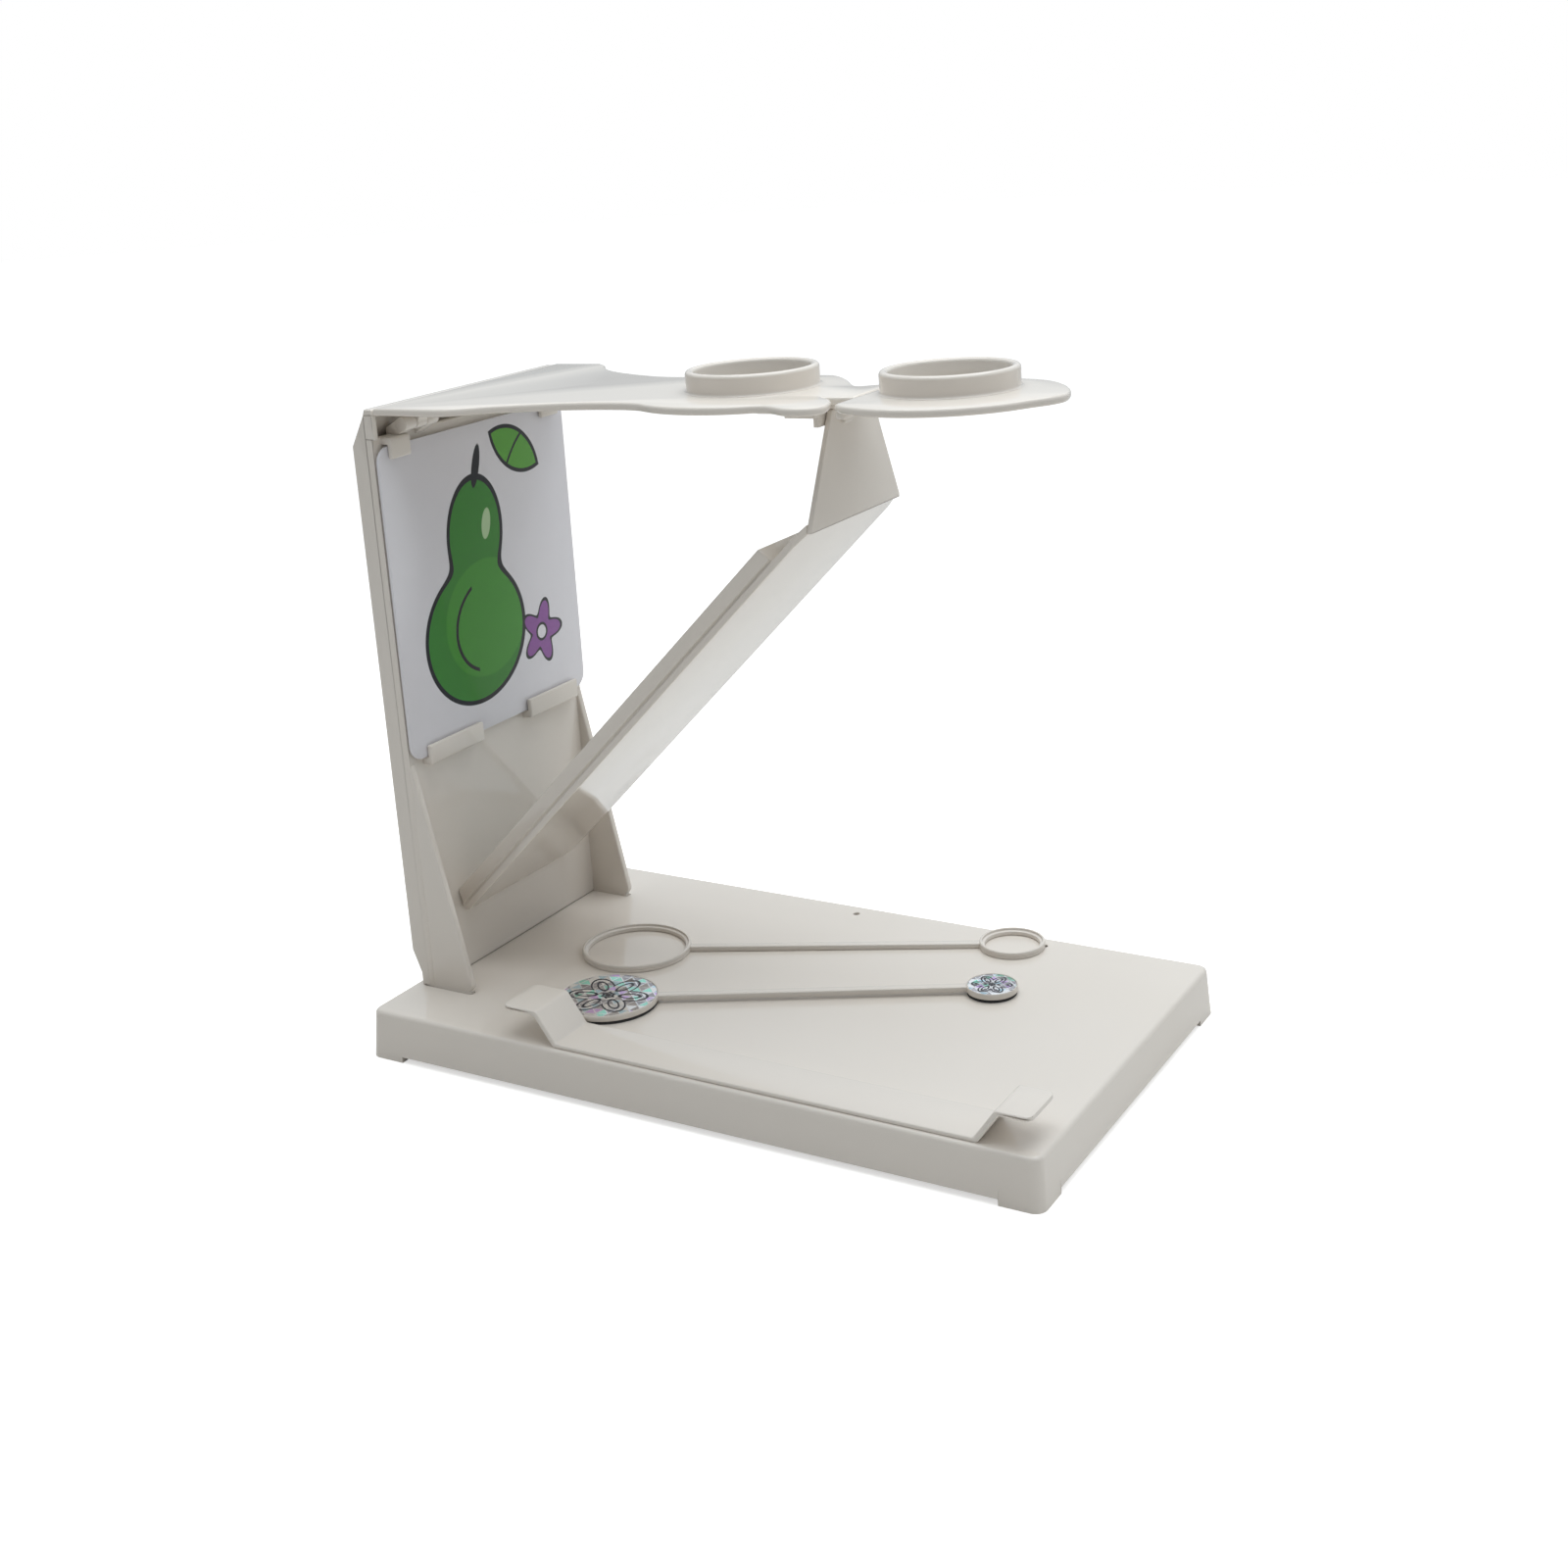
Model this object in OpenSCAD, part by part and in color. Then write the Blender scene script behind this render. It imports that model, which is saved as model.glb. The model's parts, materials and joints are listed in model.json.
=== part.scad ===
// Cheiroscope, a table-top drawing stereoscope moulded in ivory plastic.
// The left eye sees the picture card in a slanted mirror, and the right eye sees the
// paper on the base. Two wands for pointing exercises lie on the base.
// Millimetres, +Z up, origin at the middle of the base's footprint, on the table.
// +X runs from the upright to the free end, and the user sits on the -Y side.

/* [Base] */
// Length of the footprint, along X
base_l = 232.9; // [225:1:290]
// Width of the footprint, along Y
base_w = 139.1; // [132:1:180]
// Height of the base
base_h = 16; // [14:0.5:22]
// Draft: how far each wall leans in from foot to top
base_flare = 1.2; // [0.6:0.1:2]
// Wall of the tray
base_wall = 2.2; // [1.6:0.1:3]
// Corner radius in plan
base_corner = 3.6; // [3:0.1:8]
// Radius of the top edge
base_edge = 1.6; // [1:0.1:2.4]
// Height of the gap between the corner feet
foot_h = 2; // [1:0.1:3]
// Length of a corner foot
foot_l = 13; // [8:1:20]
// Thickness of the ribs under the tray
rib_t = 1.2; // [0.8:0.1:2]
// Depth of the ribs under the tray
rib_d = 6; // [3:0.5:8]
// Bore of the holes that take the paper clip's pegs
peg_hole_d = 2.2; // [2.1:0.1:3]

/* [Upright] */
// Width of the upright
up_w = 92.7; // [84:1:112]
// Thickness from its back to its front face
up_t = 8; // [7.4:0.2:10]
// Height of the top of its sides, above the table
up_top = 201.6; // [200:0.2:242]
// Distance of its back inside the left edge of the base's top
up_inset = 0.5; // [0:0.1:1.5]
// Wall of the rear shell
shell_wall = 1.8; // [1.4:0.1:2]
// Thickness of the front panel
panel_t = 2.4; // [2:0.1:2.8]
// Height of the slot between the front panel's top and the top of the sides
hinge_gap = 6.9; // [6:0.1:8]
// Height of the lip behind the arm, above the sides
lip_h = 2; // [1:0.1:2.4]
// Thickness of the side gussets
gusset_t = 2.4; // [2:0.1:3]
// Reach of the gussets in front of the front face, at the base
gusset_reach = 15.3; // [12:0.5:20]
// Height of the gussets above the base
gusset_h = 76; // [60:1:78]
// Length of the tabs that stand in the base's slots
tab_l = 18.6; // [14:0.2:20]
// Depth of those tabs below the base's top
tab_d = 11; // [6:0.5:12]

/* [Picture card] */
// Width of the card
card_w = 93.3; // [84:1:112]
// Height of the card
card_h = 98.6; // [82:1:98.6]
// Thickness of the card
card_t = 0.9; // [0.4:0.1:1.2]
// Corner radius of the card
card_r = 5; // [2:0.5:8]
// Space for the card between the front face and its clips
card_slot = 2.2; // [2:0.1:3]
// Wall of the card clips
clip_wall = 1.6; // [1.2:0.1:2]
// Width of a bottom clip
clip_w = 27; // [20:1:32]
// Distance of a bottom clip's middle from the centre line
clip_y = 26.3; // [22:0.5:29]
// Height of a bottom clip
clip_h = 6.5; // [5:0.5:8]

/* [Arm and eyepieces] */
// Distance from the front face to the left eyepiece's middle
arm_reach = 105.7; // [88:1:127]
// Angle at which the arm rises from its hinge when it rests on the septum
arm_rise = 1.2; // [0:0.1:2.5]
// Distance between the eyepieces, the user's pupil distance
eye_gap = 63; // [56:1:66]
// Thickness of the arm's plate
arm_t = 2.4; // [2:0.1:3]
// Radius of the arm's rounded plate round the left eyepiece
arm_disc_r = 36.6; // [32:0.2:40]
// Radius of the right eyepiece's plate
eye_disc_r = 35.5; // [30:0.5:38]
// Radius of an eyecup at its foot
cup_foot_r = 19.5; // [19.5:0.1:20]
// Radius of an eyecup at its rim
cup_rim_r = 19.5; // [18.8:0.05:19.6]
// Bore radius of an eyecup
cup_bore_r = 17.1; // [16.8:0.1:17.3]
// Height of an eyecup above the plate
cup_h = 6.1; // [5:0.1:10]
// Diameter of a lens
lens_d = 33.4; // [31:0.1:33.4]
// Thickness of a lens at its edge
lens_edge = 1.5; // [1.2:0.1:2]
// Focal length of a lens
lens_f = 200; // [160:10:250]
// Travel of the right eyepiece, away from the left one
eye_travel = 8; // [4:1:8]
// Radius of the arm's hinge barrels
arm_barrel_r = 2.2; // [1.9:0.1:2.4]
// Radius of the arm's hinge pins
arm_pin_r = 1; // [0.8:0.1:1.2]

/* [Mirror panel] */
// Width of the mirror panel
mp_w = 58.5; // [48:0.5:70]
// Thickness of its back plate
mp_t = 2; // [1.8:0.1:3]
// Height at which its underside meets the front face, above the base
mp_foot = 18; // [14:0.5:24]
// Height of the mirror's frame
frame_t = 5; // [3.6:0.1:5.4]
// How far the frame's rim leans out on each side
frame_flare = 0.85; // [0:0.05:1.2]
// Rim of the frame round the mirror
frame_rim = 2.2; // [1.5:0.1:4]
// Length of back plate left bare above the frame
frame_short = 15; // [12:1:24]
// Thickness of the mirror
mirror_t = 2; // [1.5:0.1:2.4]
// Thickness of the septum
septum_t = 1.6; // [1.2:0.1:2]
// Width of the septum where it stands on the panel
septum_w = 53.8; // [44:0.2:58]
// Width of the septum at its top
septum_top_w = 24.4; // [20:0.2:30]
// Radius of the panel's hinge barrel
mp_barrel_r = 1.9; // [1.7:0.1:2.2]
// Radius of the panel's hinge rod
mp_rod_r = 0.8; // [0.7:0.05:0.9]

/* [Paper clip] */
// Length of the clip over its two finger tabs
pc_l = 175; // [150:1:177]
// Width of the clip
pc_w = 17; // [14:0.5:19]
// Thickness of the clip
pc_t = 1.4; // [1:0.1:2]
// Length of a finger tab
pc_tab = 12; // [9:0.5:14]
// Run of the slope up to a finger tab
pc_run = 6.5; // [5:0.5:9]
// Height of a finger tab's underside above the base
pc_rise = 9.6; // [6:0.2:12]
// Distance of the clip from the base's front edge
pc_inset = 1.5; // [0.5:0.1:3]
// Distance between its two pegs
peg_gap = 70; // [50:1:80]
// Diameter of a peg
peg_d = 2; // [1.6:0.1:2]
// Length of a peg
peg_l = 5; // [3:0.5:7]

/* [Wands] */
// Distance between the ends of the ring wand
ring_span = 125; // [110:1:130]
// Outer radius of the large ring
ring_big_r = 18.2; // [15:0.2:19]
// Outer radius of the small ring
ring_small_r = 10.8; // [9:0.2:12]
// Wall of the rings
ring_wall = 1.8; // [1.4:0.1:2.4]
// Height of the rings
ring_h = 2.4; // [2:0.1:4]
// Distance between the ends of the disc wand
disc_span = 121; // [100:1:130]
// Radius of the large disc
disc_big_r = 16; // [12:0.2:17]
// Radius of the small disc
disc_small_r = 8.2; // [7:0.2:10]
// Thickness of the discs
disc_t = 1.6; // [1.4:0.1:3]
// Thickness of the black pads under the discs
pad_t = 1; // [0.5:0.1:1.5]
// Thickness of the foils on the discs
foil_t = 0.2; // [0.1:0.05:0.3]
// Width of the wands' rods
rod_w = 3; // [2.4:0.1:4]
// Thickness of the wands' rods
rod_t = 1.8; // [1.4:0.1:2]

/* [Hidden] */
$fn = 96;

// Clearances and small allowances
fit = 0.1;        // sliding fit, each side
pin_fit = 0.05;   // running fit of a pin, on radius
tight = 0.02;     // fit of a pin that stays put, on radius
air = 0.3;        // gap between pieces of different bodies
eps = 0.5;        // overshoot of a cut past a face
curve_steps = 5;  // points between two guide points of a curved outline

// Edges of the base's top
top_l = base_l - 2 * base_flare;
top_w = base_w - 2 * base_flare;
left_x = -top_l / 2;
front_y = -top_w / 2;

// Planes of the upright
back_x = left_x + up_inset;
face_x = back_x + up_t;
seam_x = face_x - panel_t;
panel_top = up_top - hinge_gap;
cham_x = 5.3;      // depth of the chamfer along the back's top edge
cham_z = 9.4;      // height of that chamfer
heel_x = 2.8;      // depth of the chamfer at the back's foot
heel_z = 7.6;      // height of that chamfer
heel_up = 4.4;     // straight part below it
lip_front = face_x + 1.1;
cheek_t = 2;
cheek_x = face_x + 1;
slot_x = left_x + 3.5;
gusset_y = up_w / 2 - gusset_t - fit;
screw_y = 30;
screw_z = [base_h + 26, up_top - 34];
screw_r = 1;
screw_head_r = 2.4;
screw_head_t = 1.3;
screw_seat = 3;    // local thickness of the rear wall under a screw head

// The card stands on the bottom clips, with its top edge under the top tabs
card_drop = 2.7;    // from the panel's top to the card's top
card_play = 0.2;    // between the card's foot and the clips
clip_floor = 2.5;   // thickness of a clip below the card
card_top = panel_top - card_drop;
card_bottom = card_top - card_h;
card_x = face_x + 1;
clip_face = face_x + card_slot + clip_wall;
top_tab_y = 37.8;
top_tab_w = 9;
top_tab_h = 6.5;

// Arm and eyepieces
eye1_x = face_x + arm_reach;
eye2_x = eye1_x + eye_gap;
mid_x = (eye1_x + eye2_x) / 2;
arm_z0 = up_top + 0.1;
arm_z1 = arm_z0 + arm_t;
arm_back = lip_front + 0.7;
hinge_x = face_x + 3.9;
hinge_z = up_top - 3.8;
knuckle_y = 29.3;
knuckle_w = 4.8;
lug_w = 5;
lug_gap = 0.3;
bridge_end = mid_x + 9.9;
bridge_y = [-16, 6.8];
flange_l = 2.7;
flange_h = 1.9;
tongue_t = 1.4;
tongue_y = [-12.5, 3.5];
grip_h = 2.8;
grip_t = 1.5;
grip_y = [10, 17];
grip_gap = 0.3;
cover_x = [mid_x - 19.2, mid_x - 10.6, mid_x - septum_t / 2 - grip_gap];
tongue_back = cover_x[2] - eye_travel - 4.1;
cover_y = [-19, 17];
cover_thin = 2.1;
cover_thick = 3.2;
cover_screw_x = cover_x[1] + 3;
cover_screw_y = [-15.8, 6.8];
cover_screw_r = 0.9;
cover_head_r = 1.7;
cover_head_t = 0.8;

// Eyecup: a collar with a spigot in the plate, an inner ledge, the lens below the
// ledge and a snap ring below the lens. Heights are from the plate's top.
spigot_r = 17.9;
ledge_r = 15.6;
ledge_z = [0.2, 1.2];
cup_round = 2.2;
retainer_h = 1.4;
lens_r = lens_d / 2;
lens_curve = lens_f * 0.491;
function lens_rise(r) = sqrt(lens_curve * lens_curve - r * r);
lens_mid = ledge_z[0] - lens_rise(ledge_r);
lens_back = lens_mid + lens_rise(lens_r) - lens_edge;

// Mirror panel: u runs up the slope from the hinge rod, w is square to it, upwards
mp_angle = 45;
mp_x = face_x + mp_barrel_r + 0.35;
mp_line = base_h + mp_foot - face_x;
mp_w0 = 0.05 - mp_barrel_r;
mp_z = mp_x + mp_line - mp_w0 * sqrt(2);
septum_x = mid_x - septum_t / 2;
mp_w1 = mp_w0 + mp_t;
function u_at(x, w) = (x - mp_x) * sqrt(2) + w;
frame_u = [3.2, u_at(septum_x, mp_w1) - frame_short];
mirror_sink = 0.4;
mp_lug_y = 22;
mp_lug_w = 6;
lug_clear_r = 3.3;   // cut-out of the panel round each lug
frame_foot = 0.4;    // gap between the frame's foot and the front face
barrel_short = 0.4;  // how far the barrel ends inside the panel's width
rod_short = 1;       // and the rod
septum_top = hinge_z + (mid_x - hinge_x) * sin(arm_rise)
    + (arm_z0 - tongue_t - fit - hinge_z) * cos(arm_rise) - grip_gap;
latch_y = [-7.4, -2.4];
latch_h = 3;
latch_t = 1.4;
latch_drop = 1.4;  // from the septum's top down to the latch

// Paper clip
pc_x1 = -left_x - 3.1;
pc_x0 = pc_x1 - pc_l;
pc_y0 = front_y + pc_inset;
peg_mid = (pc_x0 + pc_x1) / 2 + 1.5;
peg_x = [peg_mid - peg_gap / 2, peg_mid + peg_gap / 2];
peg_y = front_y + 6.6;

// Wands: each has its large end's place and its turn
ring_at = [left_x + 53.5, 4.7];
ring_turn = 24.8;
disc_at = [left_x + 68.1, -33.4];
disc_turn = 27.3;
rim_w = 0.5;
rim_h = 0.4;

// Helpers
// Extrudes an XZ outline along Y, from y0 to y1
module along_y(y0, y1) {
    translate([0, y1, 0]) rotate([90, 0, 0]) linear_extrude(y1 - y0) children();
}
// A box given by its two corners
module block(a, b) { translate(a) cube(b - a); }
// A rod along Y, centred at x and z
module rod_y(x, z, r, y0, y1) {
    translate([x, y0, z]) rotate([-90, 0, 0]) cylinder(r = r, h = y1 - y0);
}
// A smooth curve through points: each step is a cubic between two neighbours
function spline(p, n) = [
    for (i = [1 : len(p) - 3]) for (k = [0 : n - 1])
        let (t = k / n, a = p[i - 1], b = p[i], c = p[i + 1], d = p[i + 2])
        0.5 * (2 * b + (c - a) * t + (2 * a - 5 * b + 4 * c - d) * t * t
        + (3 * b - a - 3 * c + d) * t * t * t),
    p[len(p) - 2]
];
function arc(c, r, a0, a1, n) = [
    for (i = [0 : n]) let (a = a0 + (a1 - a0) * i / n) c + r * [cos(a), sin(a)]
];

// Turns the arm's pieces from level up to where the arm rests
module on_arm() {
    translate([hinge_x, 0, hinge_z]) rotate([0, -arm_rise, 0]) translate([-hinge_x, 0, -hinge_z])
        children();
}

// Base
module corners(l, w) { for (x = [-1, 1], y = [-1, 1]) translate([x * l / 2, y * w / 2]) children(); }
module base_body() {
    hull() {
        corners(base_l - 2 * base_corner, base_w - 2 * base_corner)
            cylinder(r = base_corner, h = 0.1, $fn = 32);
        corners(top_l - 2 * base_corner, top_w - 2 * base_corner)
            translate([0, 0, base_h - base_edge]) rotate_extrude($fn = 32) {
                square([base_corner - base_edge, base_edge]);
                translate([base_corner - base_edge, 0]) intersection() {
                    circle(base_edge, $fn = 32);
                    square(base_edge);
                }
            }
    }
}
module base_hollow() {
    r = base_corner - base_wall / 2;
    hull() {
        corners(base_l - 2 * (base_wall + r), base_w - 2 * (base_wall + r))
            translate([0, 0, -eps]) cylinder(r = r, h = 0.1, $fn = 32);
        corners(top_l - 2 * (base_wall + r), top_w - 2 * (base_wall + r))
            translate([0, 0, base_h - base_wall - 0.1]) cylinder(r = r, h = 0.1, $fn = 32);
    }
}
module base_ribs() {
    z = [base_h - base_wall - rib_d, base_h - base_wall];
    inner_l = top_l / 2 - base_wall;
    inner_w = top_w / 2 - base_wall;
    for (y = [-1, 1] * top_w / 6)
        block([-inner_l, y - rib_t / 2, z[0]], [inner_l, y + rib_t / 2, z[1]]);
    for (i = [-2 : 2]) let (x = i * top_l / 6)
        block([x - rib_t / 2, -inner_w, z[0]], [x + rib_t / 2, inner_w, z[1]]);
    for (s = [-1, 1])
        block([slot_x - rib_t, s * (gusset_y + gusset_t / 2) - gusset_t / 2 - fit - rib_t,
               base_h - tab_d - 1],
              [slot_x + tab_l + 1 + rib_t, s * (gusset_y + gusset_t / 2) + gusset_t / 2 + fit + rib_t,
               z[1]]);
    for (x = peg_x, y = [-1, 1] * peg_y)
        translate([x, y, base_h - peg_l - 1.5])
            cylinder(d = peg_hole_d + 3, h = peg_l + 1.5 - base_wall + eps);
}
module base_shell() color("ivory") difference() {
    union() {
        difference() {
            base_body();
            base_hollow();
        }
        base_ribs();
    }
    block([foot_l - base_l / 2, -base_w, -eps], [base_l / 2 - foot_l, base_w, foot_h]);
    block([-base_l, foot_l - base_w / 2, -eps], [base_l, base_w / 2 - foot_l, foot_h]);
    for (s = [-1, 1])
        block([slot_x, s * (gusset_y + gusset_t / 2) - gusset_t / 2 - fit, -eps],
              [slot_x + tab_l + 1, s * (gusset_y + gusset_t / 2) + gusset_t / 2 + fit, base_h + eps]);
    for (x = peg_x, y = [-1, 1] * peg_y)
        translate([x, y, -eps]) cylinder(d = peg_hole_d, h = base_h + 2 * eps);
}

// Upright
module screw_places() {
    for (y = [-1, 1] * screw_y, z = screw_z) translate([back_x, y, z]) rotate([0, 90, 0]) children();
}
module upright_rear_shell() color("ivory") difference() {
    union() {
        difference() {
            along_y(-up_w / 2, up_w / 2) polygon([
                [back_x + heel_x, base_h], [back_x + heel_x, base_h + heel_up],
                [back_x, base_h + heel_up + heel_z], [back_x, up_top - cham_z],
                [back_x + cham_x, up_top], [back_x + cham_x + 0.8, up_top + lip_h],
                [lip_front, up_top + lip_h], [lip_front, up_top], [seam_x, up_top],
                [seam_x, base_h]
            ]);
            along_y(-up_w / 2 + cheek_t, up_w / 2 - cheek_t) polygon([
                [back_x + heel_x + shell_wall, base_h + 2],
                [back_x + heel_x + shell_wall, base_h + heel_up],
                [back_x + shell_wall, base_h + heel_up + heel_z],
                [back_x + shell_wall, up_top - cham_z - 0.6], [seam_x, up_top - 2.4],
                [seam_x + eps, up_top - 2.4], [seam_x + eps, base_h + 2]
            ]);
        }
        for (s = [-1, 1])
            block([seam_x - eps, s * (up_w - cheek_t) / 2 - cheek_t / 2, panel_top + 0.1],
                  [cheek_x, s * (up_w - cheek_t) / 2 + cheek_t / 2, up_top]);
        screw_places() cylinder(r = screw_head_r + 1.6, h = screw_seat);
    }
    screw_places() {
        translate([0, 0, -eps]) cylinder(r = screw_head_r + fit, h = screw_head_t + 0.2 + eps);
        cylinder(r = screw_r + 0.3, h = screw_seat + eps);
    }
}
module card_clip() {
    floor_top = card_bottom - card_play;
    floor_z = floor_top - clip_floor;
    translate([0, -clip_w / 2, 0]) {
        block([face_x - eps, 0, floor_z], [clip_face, clip_w, floor_top]);
        block([clip_face - clip_wall, 0, floor_z], [clip_face, clip_w, floor_z + clip_h]);
    }
}
module top_tab() {
    translate([0, -top_tab_w / 2, 0]) {
        block([face_x - eps, 0, card_top + 0.4], [clip_face, top_tab_w, panel_top]);
        block([clip_face - clip_wall, 0, panel_top - top_tab_h], [clip_face, top_tab_w, panel_top]);
    }
}
module arm_lug(y0) {
    along_y(y0, y0 + lug_w) polygon([
        [seam_x, panel_top - eps], [seam_x, panel_top + 2], [hinge_x, hinge_z + arm_barrel_r],
        [hinge_x, hinge_z - arm_barrel_r], [face_x, panel_top - 1.6], [face_x - eps, panel_top - 1.6]
    ]);
    rod_y(hinge_x, hinge_z, arm_barrel_r, y0, y0 + lug_w);
}
module gusset() {
    low = base_h + air;
    block_r = 3;
    along_y(0, gusset_t) union() {
        polygon(concat(
            [[face_x - eps, base_h + gusset_h], [face_x, base_h + gusset_h]],
            arc([face_x + gusset_reach - block_r, low + block_r], block_r, 12, -90, 8),
            [[face_x - eps, low]]));
        translate([slot_x + 0.5, base_h - tab_d]) square([tab_l, tab_d]);
        translate([seam_x, base_h - eps]) square([slot_x + 0.5 + tab_l - seam_x, 2 * eps]);
    }
}
module upright_front_panel() color("ivory") difference() {
    union() {
        block([seam_x, -up_w / 2, base_h], [face_x, up_w / 2, panel_top]);
        for (s = [-1, 1]) {
            translate([0, s * (gusset_y + gusset_t / 2) - gusset_t / 2, 0]) gusset();
            translate([0, s * clip_y, 0]) card_clip();
            translate([0, s * top_tab_y, 0]) top_tab();
            for (d = [-1, 1])
                arm_lug(s * knuckle_y + d * (knuckle_w / 2 + lug_gap + lug_w / 2) - lug_w / 2);
            mirror_lug(s * mp_lug_y - mp_lug_w / 2);
        }
        screw_places() translate([0, 0, screw_seat + fit])
            cylinder(r = screw_r + 1.8, h = up_t - screw_seat - fit - 1);
    }
    for (s = [-1, 1])
        rod_y(hinge_x, hinge_z, arm_pin_r + tight, s * knuckle_y - knuckle_w / 2 - lug_gap - lug_w,
              s * knuckle_y + knuckle_w / 2 + lug_gap + lug_w);
    rod_y(mp_x, mp_z, mp_rod_r + tight, -mp_w / 2, mp_w / 2);
    screw_places() cylinder(r = screw_r + tight, h = up_t - 0.8);
}
module panel_screws() color("silver") screw_places() {
    translate([0, 0, 0.2]) cylinder(r = screw_head_r, h = screw_head_t);
    translate([0, 0, 0.2]) cylinder(r = screw_r, h = up_t - 1.4);
}
// The card's outline is a rectangle less what lies outside its corner circles
module card_corner() difference() {
    translate([card_r / 2, card_r / 2]) square(card_r + 2 * tight, center = true);
    translate([card_r, card_r]) circle(card_r);
}
module picture_card() color("aliceblue")
    translate([card_x, 0, card_bottom]) rotate([90, 0, 90]) linear_extrude(card_t) difference() {
        translate([-card_w / 2, 0]) square([card_w, card_h]);
        for (y = [0, 1], z = [0, 1])
            mirror([y, 0]) translate([-card_w / 2, z * card_h]) mirror([0, z]) card_corner();
    }

// Arm. Outline points are from the left eyepiece's middle, near edge first. The root
// keeps the upright's full width up to near_root and far_root.
near_root = 24.9 - arm_reach;
far_root = 20.2 - arm_reach;
near_edge = concat(
    [[arm_back - eye1_x, -up_w / 2], [near_root, -up_w / 2]],
    spline([[near_root - 14, -up_w / 2 - 1.6], [near_root + 1.8, -up_w / 2 + 0.4], [-65.7, -39],
            [-46.7, -32], [-30, -29.7], [-0.54 * arm_disc_r, -0.842 * arm_disc_r],
            [-0.2 * arm_disc_r, -arm_disc_r]], curve_steps),
    arc([0, 0], arm_disc_r, 242, 300, 14),
    spline([[14, -34.5], [22, -31.8], [30.2, -35.7], [36.2, -35.4], [40.2, -31],
            [37.3, -21.4], [31.8, bridge_y[0]], [30, -14]], curve_steps));
far_edge = concat(
    spline([[44, 8], [37.3, bridge_y[1]], [33.3, 4.2], [30, 5.8], [21.3, 17.3], [13.3, 24.4],
            [4, 25]], curve_steps),
    spline([[20, 24], [-1, 24.4], [-35.4, 19.2], [-51.8, 22], [-71, 31.5],
            [far_root + 3.5, up_w / 2 - 3], [far_root - 0.5, up_w / 2 + 8]], curve_steps),
    [[far_root, up_w / 2], [arm_back - eye1_x, up_w / 2]]);
module arm_outline() {
    polygon(concat(near_edge,
        [[bridge_end - eye1_x, bridge_y[0]], [bridge_end - eye1_x, bridge_y[1]]], far_edge));
}
module arm_plate() color("ivory") on_arm() difference() {
    union() {
        translate([eye1_x, 0, arm_z0]) linear_extrude(arm_t) arm_outline();
        for (s = [-1, 1]) {
            rod_y(hinge_x, hinge_z, arm_barrel_r, s * knuckle_y - knuckle_w / 2,
                  s * knuckle_y + knuckle_w / 2);
            along_y(s * knuckle_y - knuckle_w / 2, s * knuckle_y + knuckle_w / 2) polygon([
                [hinge_x - arm_barrel_r + 0.3, hinge_z], [hinge_x - arm_barrel_r + 0.3, arm_z0 + eps],
                [hinge_x + arm_barrel_r + 2, arm_z0 + eps], [hinge_x + arm_barrel_r, hinge_z]
            ]);
        }
    }
    rod_y(hinge_x, hinge_z, arm_pin_r + pin_fit, -up_w / 2, up_w / 2);
    translate([eye1_x, 0, arm_z0 - eps]) cylinder(r = spigot_r + pin_fit, h = arm_t + 2 * eps);
    for (y = cover_screw_y) translate([cover_screw_x, y, arm_z0 - eps])
        cylinder(r = cover_screw_r + tight, h = arm_t - 0.6 + eps);
}
module arm_hinge_pins() color("silver") for (s = [-1, 1])
    rod_y(hinge_x, hinge_z, arm_pin_r, s * knuckle_y - knuckle_w / 2 - lug_gap - lug_w + 0.2,
          s * knuckle_y + knuckle_w / 2 + lug_gap + lug_w - 0.2);
module slide_cover() color("ivory") on_arm() difference() {
    union() {
        block([cover_x[0], cover_y[0], arm_z0 - cover_thin], [cover_x[1], cover_y[1], arm_z0]);
        block([cover_x[1], cover_y[0], arm_z0 - cover_thick], [cover_x[2], cover_y[1], arm_z0]);
        for (y = [-grip_y[1], grip_y[0]])
            block([cover_x[2] - grip_t, y, arm_z0 - cover_thick - grip_h],
                  [cover_x[2], y + grip_y[1] - grip_y[0], arm_z0 - cover_thick + eps]);
    }
    block([cover_x[0] - eps, tongue_y[0] - fit, arm_z0 - tongue_t - 2 * fit],
          [cover_x[2] + eps, tongue_y[1] + fit, arm_z0 + eps]);
    translate([eye1_x, 0, arm_z0 - cover_thick - eps])
        cylinder(r = spigot_r + 1.2, h = cover_thick + 2 * eps);
    for (y = cover_screw_y) translate([cover_screw_x, y, arm_z0 - cover_thick - eps]) {
        cylinder(r = cover_screw_r + 0.2, h = cover_thick + 2 * eps);
        cylinder(r = cover_head_r + fit, h = cover_head_t + 0.1 + eps);
    }
}
module cover_screws() color("silver") on_arm() for (y = cover_screw_y)
    translate([cover_screw_x, y, arm_z0 - cover_thick + 0.1]) {
        cylinder(r = cover_head_r, h = cover_head_t);
        cylinder(r = cover_screw_r, h = cover_thick + arm_t - 1);
    }
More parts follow.
